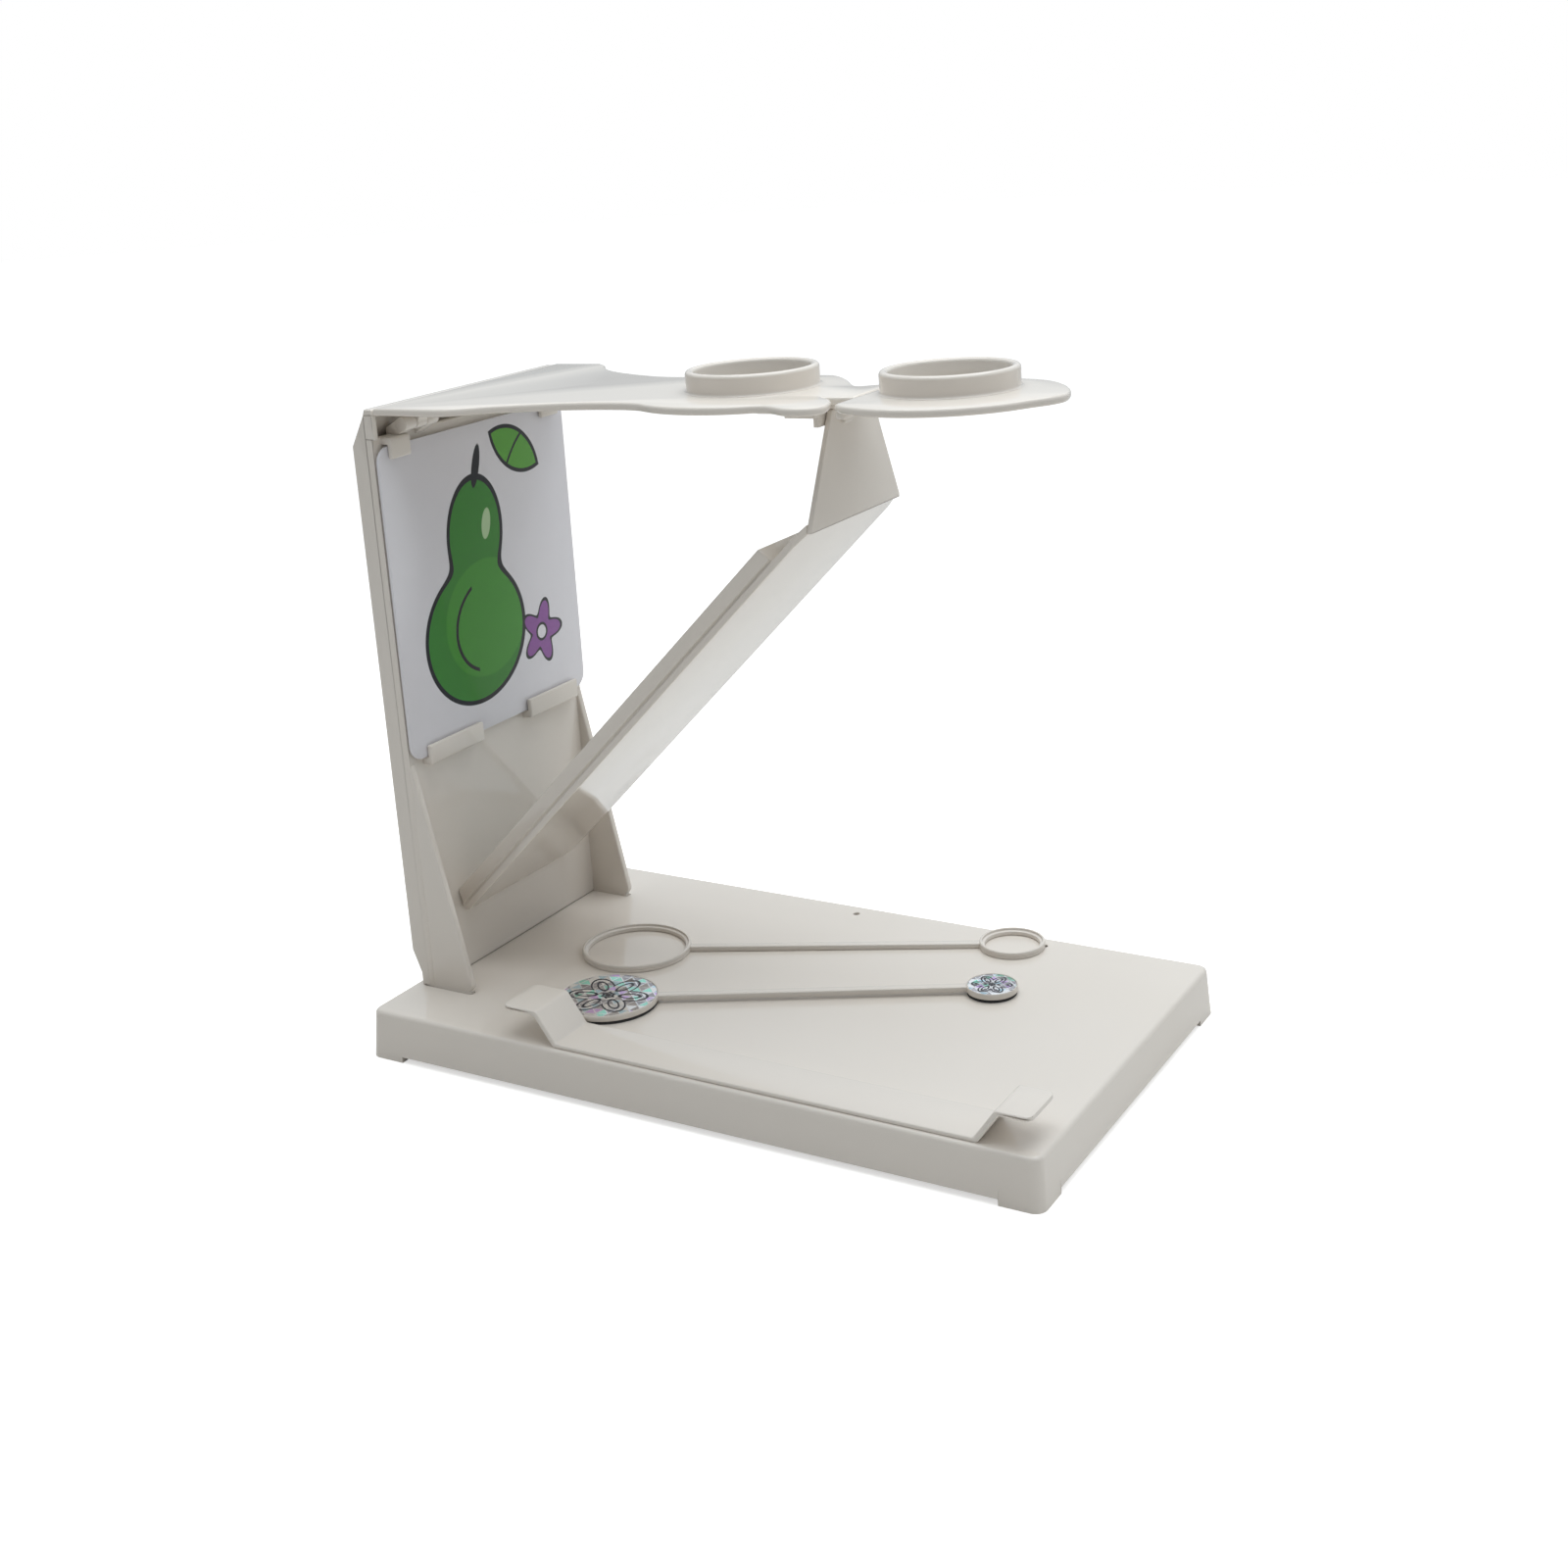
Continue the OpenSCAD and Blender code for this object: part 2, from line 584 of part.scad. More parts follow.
module right_eyepiece_plate() color("ivory") on_arm() {
    seam = bridge_end + air - eye2_x;
    difference() {
        translate([eye2_x, 0, 0]) {
            translate([0, 0, arm_z0]) linear_extrude(arm_t) polygon(concat(
                [[seam, bridge_y[1]], [seam, -27.5], [seam + 1, -28.4]],
                arc([0, 0], eye_disc_r, 238, 324, 24),
                spline([[24, -27], [31.4, -16.6], [35.3, -11], [36.7, -5.3], [34.1, 3.1], [28.3, 11.7],
                        [21.6, 17.5], [11.8, 20.3], [2, 21]], curve_steps),
                arc([0, 0], cup_foot_r + 0.8, 88, 160, 12)));
            block([seam, -27.5, arm_z0 - flange_h], [seam + flange_l, bridge_y[1], arm_z0 + eps]);
        }
        translate([eye2_x, 0, arm_z0 - eps]) cylinder(r = spigot_r + pin_fit, h = arm_t + 2 * eps);
    }
    block([tongue_back, tongue_y[0], arm_z0 - tongue_t - fit],
          [eye2_x + seam + eps, tongue_y[1], arm_z0 - fit]);
}
module at_eye(x) { on_arm() translate([x, 0, arm_z1]) children(); }
module eyecup(x) color("ivory") at_eye(x) rotate_extrude() polygon(concat(
    [[ledge_r, ledge_z[0]], [ledge_r, ledge_z[1]], [cup_bore_r, ledge_z[1]]],
    arc([cup_bore_r + cup_round / 2, cup_h - cup_round / 2], cup_round / 2, 180, 90, 6),
    arc([cup_rim_r - cup_round / 2, cup_h - cup_round / 2], cup_round / 2, 90, 0, 6),
    [[cup_foot_r - 0.2, 0.6], [cup_foot_r, 0], [spigot_r, 0], [spigot_r, -arm_t - 0.6],
     [lens_r + 0.1, -arm_t - 0.6], [lens_r + 0.1, ledge_z[0]]]));
module lens(x) color("lightcyan") at_eye(x) intersection() {
    translate([0, 0, lens_back]) cylinder(r = lens_r, h = lens_mid + lens_curve - lens_back + eps);
    translate([0, 0, lens_mid]) sphere(r = lens_curve, $fn = 200);
}
module lens_retainer(x) color("ivory") at_eye(x)
    translate([0, 0, lens_back - retainer_h]) difference() {
        cylinder(r = lens_r + 0.08, h = retainer_h);
        translate([0, 0, -eps]) cylinder(r = ledge_r, h = retainer_h + 2 * eps);
    }
module left_eyecup() eyecup(eye1_x);
module right_eyecup() eyecup(eye2_x);
module left_lens() lens(eye1_x);
module right_lens() lens(eye2_x);
module left_lens_retainer() lens_retainer(eye1_x);
module right_lens_retainer() lens_retainer(eye2_x);

// Mirror panel
// Puts u, y, w geometry on the slope
module on_slope() { translate([mp_x, 0, mp_z]) rotate([0, -mp_angle, 0]) children(); }
module mirror_lug(y0) {
    along_y(y0, y0 + mp_lug_w) polygon([
        [face_x - eps, mp_z - 1.2], [face_x - eps, mp_z + mp_barrel_r], [mp_x, mp_z + mp_barrel_r],
        [mp_x + 0.6, mp_z - 1.2]
    ]);
    rod_y(mp_x, mp_z, mp_barrel_r, y0, y0 + mp_lug_w);
}
module mirror_back_plate() color("ivory") difference() {
    union() {
        rod_y(mp_x, mp_z, mp_barrel_r, barrel_short - mp_w / 2, mp_w / 2 - barrel_short);
        on_slope() intersection() {
            along_y(-mp_w / 2, mp_w / 2) polygon([
                [0, mp_w0], [u_at(septum_x, mp_w0), mp_w0],
                [u_at(septum_x, mp_w1), mp_w1], [0, mp_w1]
            ]);
            taper = u_at(septum_x, mp_w1);
            translate([0, 0, -mp_t]) linear_extrude(3 * mp_t) polygon([
                [-mp_t, -mp_w / 2], [taper - 5, -mp_w / 2], [taper + 1, -septum_w / 2],
                [taper + 1, septum_w / 2], [taper - 5, mp_w / 2], [-mp_t, mp_w / 2]
            ]);
        }
    }
    rod_y(mp_x, mp_z, mp_rod_r + pin_fit, -mp_w, mp_w);
    for (s = [-1, 1])
        rod_y(mp_x, mp_z, lug_clear_r, s * mp_lug_y - mp_lug_w / 2 - lug_gap,
              s * mp_lug_y + mp_lug_w / 2 + lug_gap);
}
module mirror_hinge_rod() color("silver")
    rod_y(mp_x, mp_z, mp_rod_r, rod_short - mp_w / 2, mp_w / 2 - rod_short);
// Its long sides have a small groove at the foot and then lean outwards
groove = [0.6, 0.5, 0.9];  // depth, height and height with its slope
module frame_section(w, h) {
    polygon([
        [-w / 2 + groove[0], 0], [w / 2 - groove[0], 0], [w / 2 - groove[0], groove[1]],
        [w / 2, groove[2]], [w / 2 + frame_flare, h], [-w / 2 - frame_flare, h],
        [-w / 2, groove[2]], [-w / 2 + groove[0], groove[1]]
    ]);
}
module mirror_frame() color("ivory") difference() {
    on_slope() translate([0, 0, mp_w1]) difference() {
        translate([-mp_barrel_r / 2, 0, 0]) rotate([90, 0, 90])
            linear_extrude(frame_u[1] + mp_barrel_r / 2) frame_section(mp_w, frame_t);
        block([frame_u[0] + frame_rim, frame_rim - mp_w / 2, frame_t - mirror_t - mirror_sink],
              [frame_u[1] - frame_rim, mp_w / 2 - frame_rim, frame_t + eps]);
    }
    block([face_x - up_t, -mp_w, base_h], [face_x + frame_foot, mp_w, up_top]);
    rod_y(mp_x, mp_z, mp_barrel_r + tight, -mp_w, mp_w);
    for (s = [-1, 1])
        rod_y(mp_x, mp_z, lug_clear_r, s * mp_lug_y - mp_lug_w / 2 - lug_gap,
              s * mp_lug_y + mp_lug_w / 2 + lug_gap);
}
module mirror_glass() color("lightsteelblue") on_slope()
    block([frame_u[0] + frame_rim + fit, frame_rim + fit - mp_w / 2,
           mp_w1 + frame_t - mirror_t - mirror_sink],
          [frame_u[1] - frame_rim - fit, mp_w / 2 - frame_rim - fit, mp_w1 + frame_t - mirror_sink]);
module septum() color("ivory") {
    septum_plate();
    block([septum_x + septum_t - eps, latch_y[0], septum_top - latch_drop - latch_h],
          [septum_x + septum_t + latch_t, latch_y[1], septum_top - latch_drop]);
}
module septum_plate() intersection() {
    along_y(-mp_w, mp_w) polygon([
        [septum_x, septum_x + mp_line], [septum_x + septum_t, septum_x + septum_t + mp_line],
        [septum_x + septum_t, septum_top], [septum_x, septum_top]
    ]);
    translate([septum_x - eps, 0, 0]) rotate([90, 0, 90]) linear_extrude(septum_t + 2 * eps)
        polygon([
            [-septum_w / 2, septum_x + mp_line - 1], [septum_w / 2, septum_x + mp_line - 1],
            [septum_w / 2, septum_x + mp_line + 1.5], [septum_top_w / 2, septum_top],
            [-septum_top_w / 2, septum_top], [-septum_w / 2, septum_x + mp_line + 1.5]
        ]);
}

// Paper clip: a strip with a raised finger tab at each end and two pegs below
module paper_clip() color("ivory") {
    a = [pc_x0 + pc_tab, pc_x0 + pc_tab + pc_run, pc_x1 - pc_tab - pc_run + 2, pc_x1 - pc_tab + 2];
    k = pc_t * 0.4;
    translate([0, 0, base_h]) along_y(pc_y0, pc_y0 + pc_w) polygon([
        [pc_x0, pc_rise], [a[0] - k, pc_rise], [a[1] - k, 0], [a[2] + k, 0], [a[3] + k, pc_rise],
        [pc_x1, pc_rise], [pc_x1, pc_rise + pc_t], [a[3] - k, pc_rise + pc_t], [a[2] - k, pc_t],
        [a[1] + k, pc_t], [a[0] + k, pc_rise + pc_t], [pc_x0, pc_rise + pc_t]
    ]);
    for (x = peg_x) translate([x, peg_y, base_h - peg_l]) cylinder(d = peg_d, h = peg_l + 0.5);
}

// Wands
module lay(at, turn, z) { translate([at[0], at[1], base_h + z]) rotate([0, 0, turn]) children(); }
module ring(r) {
    s = ring_wall / 2;
    rotate_extrude() polygon([
        [r - ring_wall, 0], [r, 0], [r, ring_h], [r - s, ring_h], [r - s, ring_h - 0.8],
        [r - ring_wall, ring_h - 0.8]
    ]);
}
module wand_rod(x0, x1) { block([x0, -rod_w / 2, 0], [x1, rod_w / 2, rod_t]); }
module ring_wand() color("ivory") lay(ring_at, ring_turn, 0) {
    ring(ring_big_r);
    translate([ring_span, 0, 0]) ring(ring_small_r);
    wand_rod(ring_big_r - ring_wall / 2, ring_span - ring_small_r + ring_wall / 2);
}
module disc(r) {
    cylinder(r = r, h = disc_t);
    translate([0, 0, disc_t]) difference() {
        cylinder(r = r, h = rim_h);
        cylinder(r = r - rim_w, h = rim_h + eps);
    }
}
module disc_wand() color("ivory") lay(disc_at, disc_turn, pad_t) {
    disc(disc_big_r);
    translate([disc_span, 0, 0]) disc(disc_small_r);
    wand_rod(disc_big_r - rim_w, disc_span - disc_small_r + rim_w);
}
module disc_layer(along, r, z, t) lay(disc_at, disc_turn, z) translate([along, 0, 0]) cylinder(r = r, h = t);
module large_disc_pad() color("dimgray") disc_layer(0, disc_big_r - 0.4, 0, pad_t);
module small_disc_pad() color("dimgray") disc_layer(disc_span, disc_small_r - 0.4, 0, pad_t);
module large_disc_foil() color("lightsteelblue")
    disc_layer(0, disc_big_r - rim_w - fit, pad_t + disc_t, foil_t);
module small_disc_foil() color("lightsteelblue")
    disc_layer(disc_span, disc_small_r - rim_w - fit, pad_t + disc_t, foil_t);

base_shell();
upright_rear_shell();
upright_front_panel();
panel_screws();
picture_card();
arm_plate();
arm_hinge_pins();
slide_cover();
cover_screws();
left_eyecup();
left_lens();
left_lens_retainer();
right_eyepiece_plate();
right_eyecup();
right_lens();
right_lens_retainer();
mirror_back_plate();
mirror_hinge_rod();
mirror_frame();
mirror_glass();
septum();
paper_clip();
ring_wand();
disc_wand();
large_disc_pad();
small_disc_pad();
large_disc_foil();
small_disc_foil();
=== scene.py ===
# %% [markdown]
# The object is a cheiroscope, a small table-top instrument for drawing exercises. One eye
# looks down through a lens into a slanted mirror and sees a picture card, the other looks
# down at a sheet of paper. The solids come packed from the construction model, and this
# script gives them rounded edges, a print, foils and finishes. Loading them first keeps
# every later piece in the same frame, in metres.

import json
import math

import bpy
import numpy as np
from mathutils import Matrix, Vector
from mathutils.geometry import tessellate_polygon


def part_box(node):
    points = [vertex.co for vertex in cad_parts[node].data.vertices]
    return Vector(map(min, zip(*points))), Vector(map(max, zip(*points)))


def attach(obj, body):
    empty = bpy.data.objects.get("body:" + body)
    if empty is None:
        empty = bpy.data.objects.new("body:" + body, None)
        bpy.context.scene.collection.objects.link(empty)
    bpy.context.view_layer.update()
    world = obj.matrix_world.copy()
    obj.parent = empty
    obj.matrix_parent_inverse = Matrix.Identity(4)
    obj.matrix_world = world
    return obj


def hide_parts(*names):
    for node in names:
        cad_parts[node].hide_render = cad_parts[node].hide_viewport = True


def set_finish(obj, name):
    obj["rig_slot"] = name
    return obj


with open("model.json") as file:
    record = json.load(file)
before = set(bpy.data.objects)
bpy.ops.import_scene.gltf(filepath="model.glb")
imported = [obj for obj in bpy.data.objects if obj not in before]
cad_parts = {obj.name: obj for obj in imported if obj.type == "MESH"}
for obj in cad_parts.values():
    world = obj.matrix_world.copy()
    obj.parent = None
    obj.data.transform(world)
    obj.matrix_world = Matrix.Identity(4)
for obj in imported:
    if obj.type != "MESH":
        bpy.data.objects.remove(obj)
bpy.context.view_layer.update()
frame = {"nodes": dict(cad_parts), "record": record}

# %% [markdown]
# Moulded parts are easiest to think about in millimetres, so the sizes below are in
# millimetres and are turned into metres when a mesh is made. The main planes of the
# instrument are read off the solids' own boxes, so nothing drifts from the model.

# %% Named sizes
MM = 0.001


def span(node, axis):
    """Lowest and highest coordinate of one solid along an axis, in millimetres."""
    low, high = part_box(node)
    return low[axis] / MM, high[axis] / MM


# The card stands a little off the front face, and the rear shell's lip rises past its top.
card_gap, lip_h, panel_drop, panel_t = 1, 2, 6.9, 2.4
base_l = 2 * span("base_shell", 0)[1]
base_w = 2 * span("base_shell", 1)[1]
base_h = span("base_shell", 2)[1]
face_x = span("picture_card", 0)[0] - card_gap
up_top = span("upright_rear_shell", 2)[1] - lip_h
panel_top = up_top - panel_drop
half_up = span("upright_rear_shell", 1)[1]
seam_x = face_x - panel_t
rise = math.radians(1.2)
print("base %.1f x %.1f x %.1f, front face at %.2f" % (base_l, base_w, base_h, face_x))

# %% [markdown]
# Nearly every piece here is a plate: an outline given some thickness, with its edges
# rounded by the mould. It could be made with a cube and a bevel, but then holes and curved
# outlines are awkward. A stack of rings is simpler: each ring is the outline moved inwards
# a little, at its own height, and the two flat faces are filled between the rings. One
# function then makes a plate from any outline, and one more spins a profile into a cup.


# %% Outlines
least_divisor, straight_half, side_share = 0.35, 1.55, 0.48


def without_doubles(loop, least):
    """Leaves out each point that lies within least of the one before it."""
    return loop[np.linalg.norm(loop - np.roll(loop, 1, 0), axis=1) > least]


def moved_in(loop, d):
    """Each corner moves inwards by d, along the bisector of its two sides.
    The shift is (n0 + n1) / (1 + n0 . n1), where n0 and n1 are the sides' inward normals.
    The divisor has a least value, so that a very sharp corner doesn't run away."""
    before = loop - np.roll(loop, 1, 0)
    after = np.roll(loop, -1, 0) - loop
    n0, n1 = (np.stack([-e[:, 1], e[:, 0]], 1) / np.linalg.norm(e, axis=1)[:, None]
              for e in (before, after))
    k = np.maximum(1 + (n0 * n1).sum(1), least_divisor)[:, None]
    return loop + d * (n0 + n1) / k


def filleted(points, radii, steps=5):
    """A closed outline with each corner replaced by an arc of its radius. The arc touches
    both sides at r / tan(half the corner's angle) from the corner, or less where that is
    more than its share of a side. A nearly straight corner stays as it is."""
    p = np.array(points, float)
    r = np.broadcast_to(np.array(radii, float), len(p))
    out = []
    for a, b, c, rad in zip(np.roll(p, 1, 0), p, np.roll(p, -1, 0), r):
        u, v = a - b, c - b
        lu, lv = np.linalg.norm(u), np.linalg.norm(v)
        u, v = u / lu, v / lv
        half = 0.5 * math.acos(np.clip(u @ v, -1, 1))
        if rad <= 0 or half > straight_half:
            out.append(b[None])
            continue
        reach = min(rad / math.tan(half), side_share * lu, side_share * lv)
        rad = reach * math.tan(half)
        mid = (u + v) / np.linalg.norm(u + v) * rad / math.sin(half) + b
        s, e = b + u * reach - mid, b + v * reach - mid
        a0 = math.atan2(s[1], s[0])
        turn = (math.atan2(e[1], e[0]) - a0 + math.pi) % (2 * math.pi) - math.pi
        t = a0 + turn * np.linspace(0, 1, steps)
        out.append(mid + rad * np.stack([np.cos(t), np.sin(t)], 1))
    return without_doubles(np.concatenate(out), 1e-4)


def circle(at, r, n):
    """n points round a centre, counterclockwise."""
    t = np.linspace(0, 2 * math.pi, n, endpoint=False)
    return np.array(at) + r * np.stack([np.cos(t), np.sin(t)], 1)


def bow(at, r, a0, a1, n):
    """n steps along a circle round a centre, from angle a0 to angle a1, in degrees."""
    t = np.radians(np.linspace(a0, a1, n + 1))
    return np.array(at) + r * np.stack([np.cos(t), np.sin(t)], 1)


def box_outline(x0, y0, x1, y1, r=0.6, steps=4):
    """A rectangle with corners of radius r, counterclockwise."""
    return filleted([(x0, y0), (x1, y0), (x1, y1), (x0, y1)], r, steps)


print("corner steps of a small box:", len(box_outline(0, 0, 10, 5)))


# %% Solids as stacks of rings
class Solid:
    """Collects closed shells, as vertex arrays in millimetres and faces, for one piece."""

    def __init__(self):
        self.points, self.faces, self.count = [], [], 0

    def add(self, points, faces):
        """Takes one closed shell and gives the solid back."""
        self.points.append(np.asarray(points, float))
        self.faces += [tuple(int(i) + self.count for i in f) for f in faces]
        self.count += len(points)
        return self


def round_edge(z0, z1, r, steps=3):
    """(inset, height) pairs up the side of a plate: a quarter circle at each edge."""
    t = np.linspace(0, math.pi / 2, steps + 1)
    low = [(r * (1 - math.sin(a)), z0 + r * (1 - math.cos(a))) for a in t]
    high = [(r * (1 - math.cos(a)), z1 - r * (1 - math.sin(a))) for a in t]
    return low + high


def cap(points, loops, up):
    """Triangles that fill a flat face between loops of vertex numbers, the first outside
    and the others round holes. Seen from above, a triangle a, b, c is counterclockwise
    where the cross product of b - a and c - a is positive."""
    flat = [[Vector((x, y, 0)) for x, y, _ in points[loop]] for loop in loops]
    ids = np.concatenate(loops)
    out = []
    for tri in tessellate_polygon(flat):
        a, b, c = points[ids[list(tri)]][:, :2]
        ccw = (b[0] - a[0]) * (c[1] - a[1]) - (b[1] - a[1]) * (c[0] - a[0]) > 0
        out.append(ids[list(tri if ccw == up else tri[::-1])].tolist())
    return out


def plate(outline, profile, holes=(), hole_edge=None):
    """A closed plate. Ring k is the outline moved in by profile[k][0], at height
    profile[k][1], and a hole's ring moves outwards by its own edge's inset."""
    edge = hole_edge or [profile[0], profile[-1]]
    stacks = [[(moved_in(np.asarray(outline, float), d), z) for d, z in profile]]
    for h in holes:
        stacks.append([(moved_in(h[::-1], d), z) for d, z in edge])
    points, faces, tops, lows, at = [], [], [], [], 0
    for rings in stacks:
        n = len(rings[0][0])
        i = np.arange(n)
        points += [np.column_stack([p, np.full(n, z)]) for p, z in rings]
        for k in range(len(rings) - 1):
            a = at + k * n + i
            b = at + k * n + (i + 1) % n
            faces += np.stack([a, b, b + n, a + n], 1).tolist()
        lows.append(at + i)
        at += len(rings) * n
        tops.append(at - n + i)
    points = np.concatenate(points)
    return points, faces + cap(points, lows, False) + cap(points, tops, True)


def spun(profile, n=96):
    """A profile of (radius, height) pairs carried round the Z axis. Its order runs
    counterclockwise, seen with radius to the right, so that the faces point outwards."""
    p = np.array(profile, float)
    t = np.linspace(0, 2 * math.pi, n, endpoint=False)
    ring = np.stack([np.outer(p[:, 0], np.cos(t)), np.outer(p[:, 0], np.sin(t)),
                     np.repeat(p[:, 1:], n, 1)], 2)
    i, k = np.meshgrid(np.arange(n), np.arange(len(p)), indexing="xy")
    a, b = k * n + i, k * n + (i + 1) % n
    up = ((k + 1) % len(p)) * n
    quads = np.stack([a, b, up + (i + 1) % n, up + i], 2)
    return ring.reshape(-1, 3), quads.reshape(-1, 4).tolist()


print("a plate has", len(plate(box_outline(0, 0, 10, 5), round_edge(0, 2, 0.4))[1]), "faces")

# %% [markdown]
# A plate is drawn flat and is then carried to its place. On the real object the plates
# lie in only a few directions: level, along or across the upright, on the arm, which
# rises a little, and on the mirror panel's slope of 45 degrees. Each direction is one
# small function on a whole array of points, so no object has to be turned afterwards.


# %% Where a plate is put
# The rod's barrel nearly touches the front face. The mirror panel's underside, measured
# square to its slope, lies at w0 from the rod.
hinge_out, hinge_drop = 3.9, 3.8
barrel_r, rod_gap, panel_seat, mirror_foot = 1.9, 0.35, 0.05, 18
hinge = (face_x + hinge_out, up_top - hinge_drop)
w0 = panel_seat - barrel_r
rod_x = face_x + barrel_r + rod_gap
rod_at = (rod_x, rod_x + base_h + mirror_foot - face_x - w0 * math.sqrt(2))
crease, drum_n, drum_edge = math.radians(38), 40, 0.25


def level(p):
    """Outline in X and Y, thickness upwards."""
    return p


def along_y(p):
    """Outline in X and Z, thickness towards -Y."""
    return np.stack([p[:, 0], -p[:, 2], p[:, 1]], 1)


def facing_x(p):
    """Outline in Y and Z, thickness along X."""
    return np.stack([p[:, 2], p[:, 0], p[:, 1]], 1)


def facing_back(p):
    """Outline in Y and Z seen from behind, so Y is turned over, thickness towards -X."""
    return np.stack([-p[:, 2], -p[:, 0], p[:, 1]], 1)


def on_arm(p):
    """Turns points about the arm's hinge by the angle at which the arm rests."""
    dx, dz = p[:, 0] - hinge[0], p[:, 2] - hinge[1]
    c, s = math.cos(rise), math.sin(rise)
    return np.stack([hinge[0] + c * dx - s * dz, p[:, 1], hinge[1] + s * dx + c * dz], 1)


def on_slope(p):
    """(u, y, w) on the mirror panel's slope of 45 degrees: u runs up from its hinge rod and
    w square to it, so x = (u - w) / sqrt 2 and z = (u + w) / sqrt 2 from the rod."""
    s = math.sqrt(0.5)
    return np.stack([rod_at[0] + s * (p[:, 0] - p[:, 2]), p[:, 1],
                     rod_at[1] + s * (p[:, 0] + p[:, 2])], 1)


def moved(p, x=0.0, y=0.0, z=0.0):
    """Points shifted along the axes."""
    return p + np.array([x, y, z])


def turned(p, angle):
    """Turns points about Z by an angle in degrees."""
    c, s = math.cos(math.radians(angle)), math.sin(math.radians(angle))
    return np.stack([c * p[:, 0] - s * p[:, 1], s * p[:, 0] + c * p[:, 1], p[:, 2]], 1)


def put(solid, place, outline, z0, z1, r, holes=(), steps=3):
    """Adds one rounded plate to a solid, at a place."""
    points, faces = plate(outline, round_edge(z0, z1, r, steps), holes)
    solid.add(place(points), faces)


def across(solid, outline, y0, y1, r, steps=3):
    """Adds a plate that is drawn in X and Z and reaches from y0 to y1."""
    put(solid, along_y, outline, -max(y0, y1), -min(y0, y1), r, steps=steps)


def drum(solid, at, r, y0, y1):
    """Adds a short round bar along Y, round a place in X and Z."""
    across(solid, circle(at, r, drum_n), y0, y1, drum_edge, 2)


def piece(name, solid, body, slot, *nodes):
    """Makes the mesh in metres, with smooth faces and creases where they meet sharply."""
    mesh = bpy.data.meshes.new(name)
    mesh.from_pydata(np.concatenate(solid.points) * MM, [], solid.faces)
    mesh.validate()
    mesh.shade_smooth()
    mesh.set_sharp_from_angle(angle=crease)
    obj = bpy.data.objects.new(name, mesh)
    bpy.context.scene.collection.objects.link(obj)
    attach(obj, body)
    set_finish(obj, slot)
    if nodes:
        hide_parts(*nodes)
    print(name, len(mesh.polygons), "faces")


print("arm hinge at x %.2f, z %.2f, mirror hinge at x %.2f, z %.2f" % (hinge + rod_at))

# %% [markdown]
# The base is a thin tray, upside down. Its four walls lean inwards by the mould's draft,
# its top edge is rounded, and it stands on four corner feet with a shallow gap between
# them. The wall is a profile carried round the rounded rectangle. The gap between the feet
# is made by lifting the lowest ring there, with two corners close together at each step.


# %% Base outline
# How far the walls lean in, their thickness, the corners' radius and the top edge's.
flare, wall, corner, edge = 1.2, 2.2, 3.6, 1.6
foot_l, foot_gap, thin = 13.0, 2.0, 0.05


def base_ring(shrink, r):
    """The base's outline moved in by shrink, with corner radius r, and a pair of points at
    each end of a foot. Each ring has the same points in the same order."""
    hx, hy = base_l / 2 - shrink, base_w / 2 - shrink
    fx, fy = base_l / 2 - foot_l, base_w / 2 - foot_l
    pts = []
    for sx, sy, a0 in ((1, -1, -90), (1, 1, 0), (-1, 1, 90), (-1, -1, 180)):
        arc = bow((sx * (hx - r), sy * (hy - r)), r, a0, a0 + 90, 12)
        if sx * sy < 0:
            side = [[sx * (fx - thin), sy * hy], [sx * fx, sy * hy]]
            after = [[sx * hx, sy * fy], [sx * hx, sy * (fy - thin)]]
        else:
            side = [[sx * hx, sy * (fy - thin)], [sx * hx, sy * fy]]
            after = [[sx * fx, sy * hy], [sx * (fx - thin), sy * hy]]
        pts += [side, arc, after]
    return np.concatenate(pts)


def lifted(ring):
    """1 where the lowest ring is lifted between the feet, 0 on the feet."""
    fx, fy = base_l / 2 - foot_l, base_w / 2 - foot_l
    along = np.abs(ring[:, 0]) < fx - thin / 2
    beside = np.abs(ring[:, 1]) < fy - thin / 2
    return (along | beside).astype(float)


print("points in each ring of the base:", len(base_ring(0, corner)))

# %% Places on the base
# The paper clip's length and place along the base, its pegs, and the upright's slots.
clip_in, clip_l, peg_step, peg_shift, peg_in = 3.1, 175, 35, 1.5, 6.6
slot_in, slot_y, slot_half, slot_from, slot_to, slot_r = 3.5, 45.05, 1.3, 1, 19.6, 0.3
peg_hole_r = 1.1
left_x, front_y = -(base_l / 2 - flare), -(base_w / 2 - flare)
clip_x1 = -left_x - clip_in
clip_x0 = clip_x1 - clip_l
peg_mid = (clip_x0 + clip_x1) / 2 + peg_shift
peg_x, peg_y = (peg_mid - peg_step, peg_mid + peg_step), -front_y - peg_in
slot_x = left_x + slot_in
print("slots from x %.2f, pegs at x %.2f and %.2f" % (slot_x, *peg_x))


# %% Base tray
waist, waist_lean, inner_foot, inner_waist = 0.3, 0.35, 0.5, 0.9
corner_loss, least_corner, hole_round = 0.9, 1.5, 0.15


def tray_profile():
    """(depth, height) pairs of the outer and of the inner wall. The outer wall leans in as
    it rises, with one more ring at its waist, and the edge is a quarter circle."""
    turns = np.linspace(0, math.pi / 2, 7)[1:]
    outer = [(0, 0), (flare * waist_lean, base_h * waist), (flare, base_h - edge)]
    outer += [(flare + edge * (1 - math.cos(a)), base_h - edge * (1 - math.sin(a))) for a in turns]
    inner = [(wall + inner_foot, 0), (wall + inner_waist, base_h * waist),
             (wall + flare, base_h - wall)]
    return outer, inner


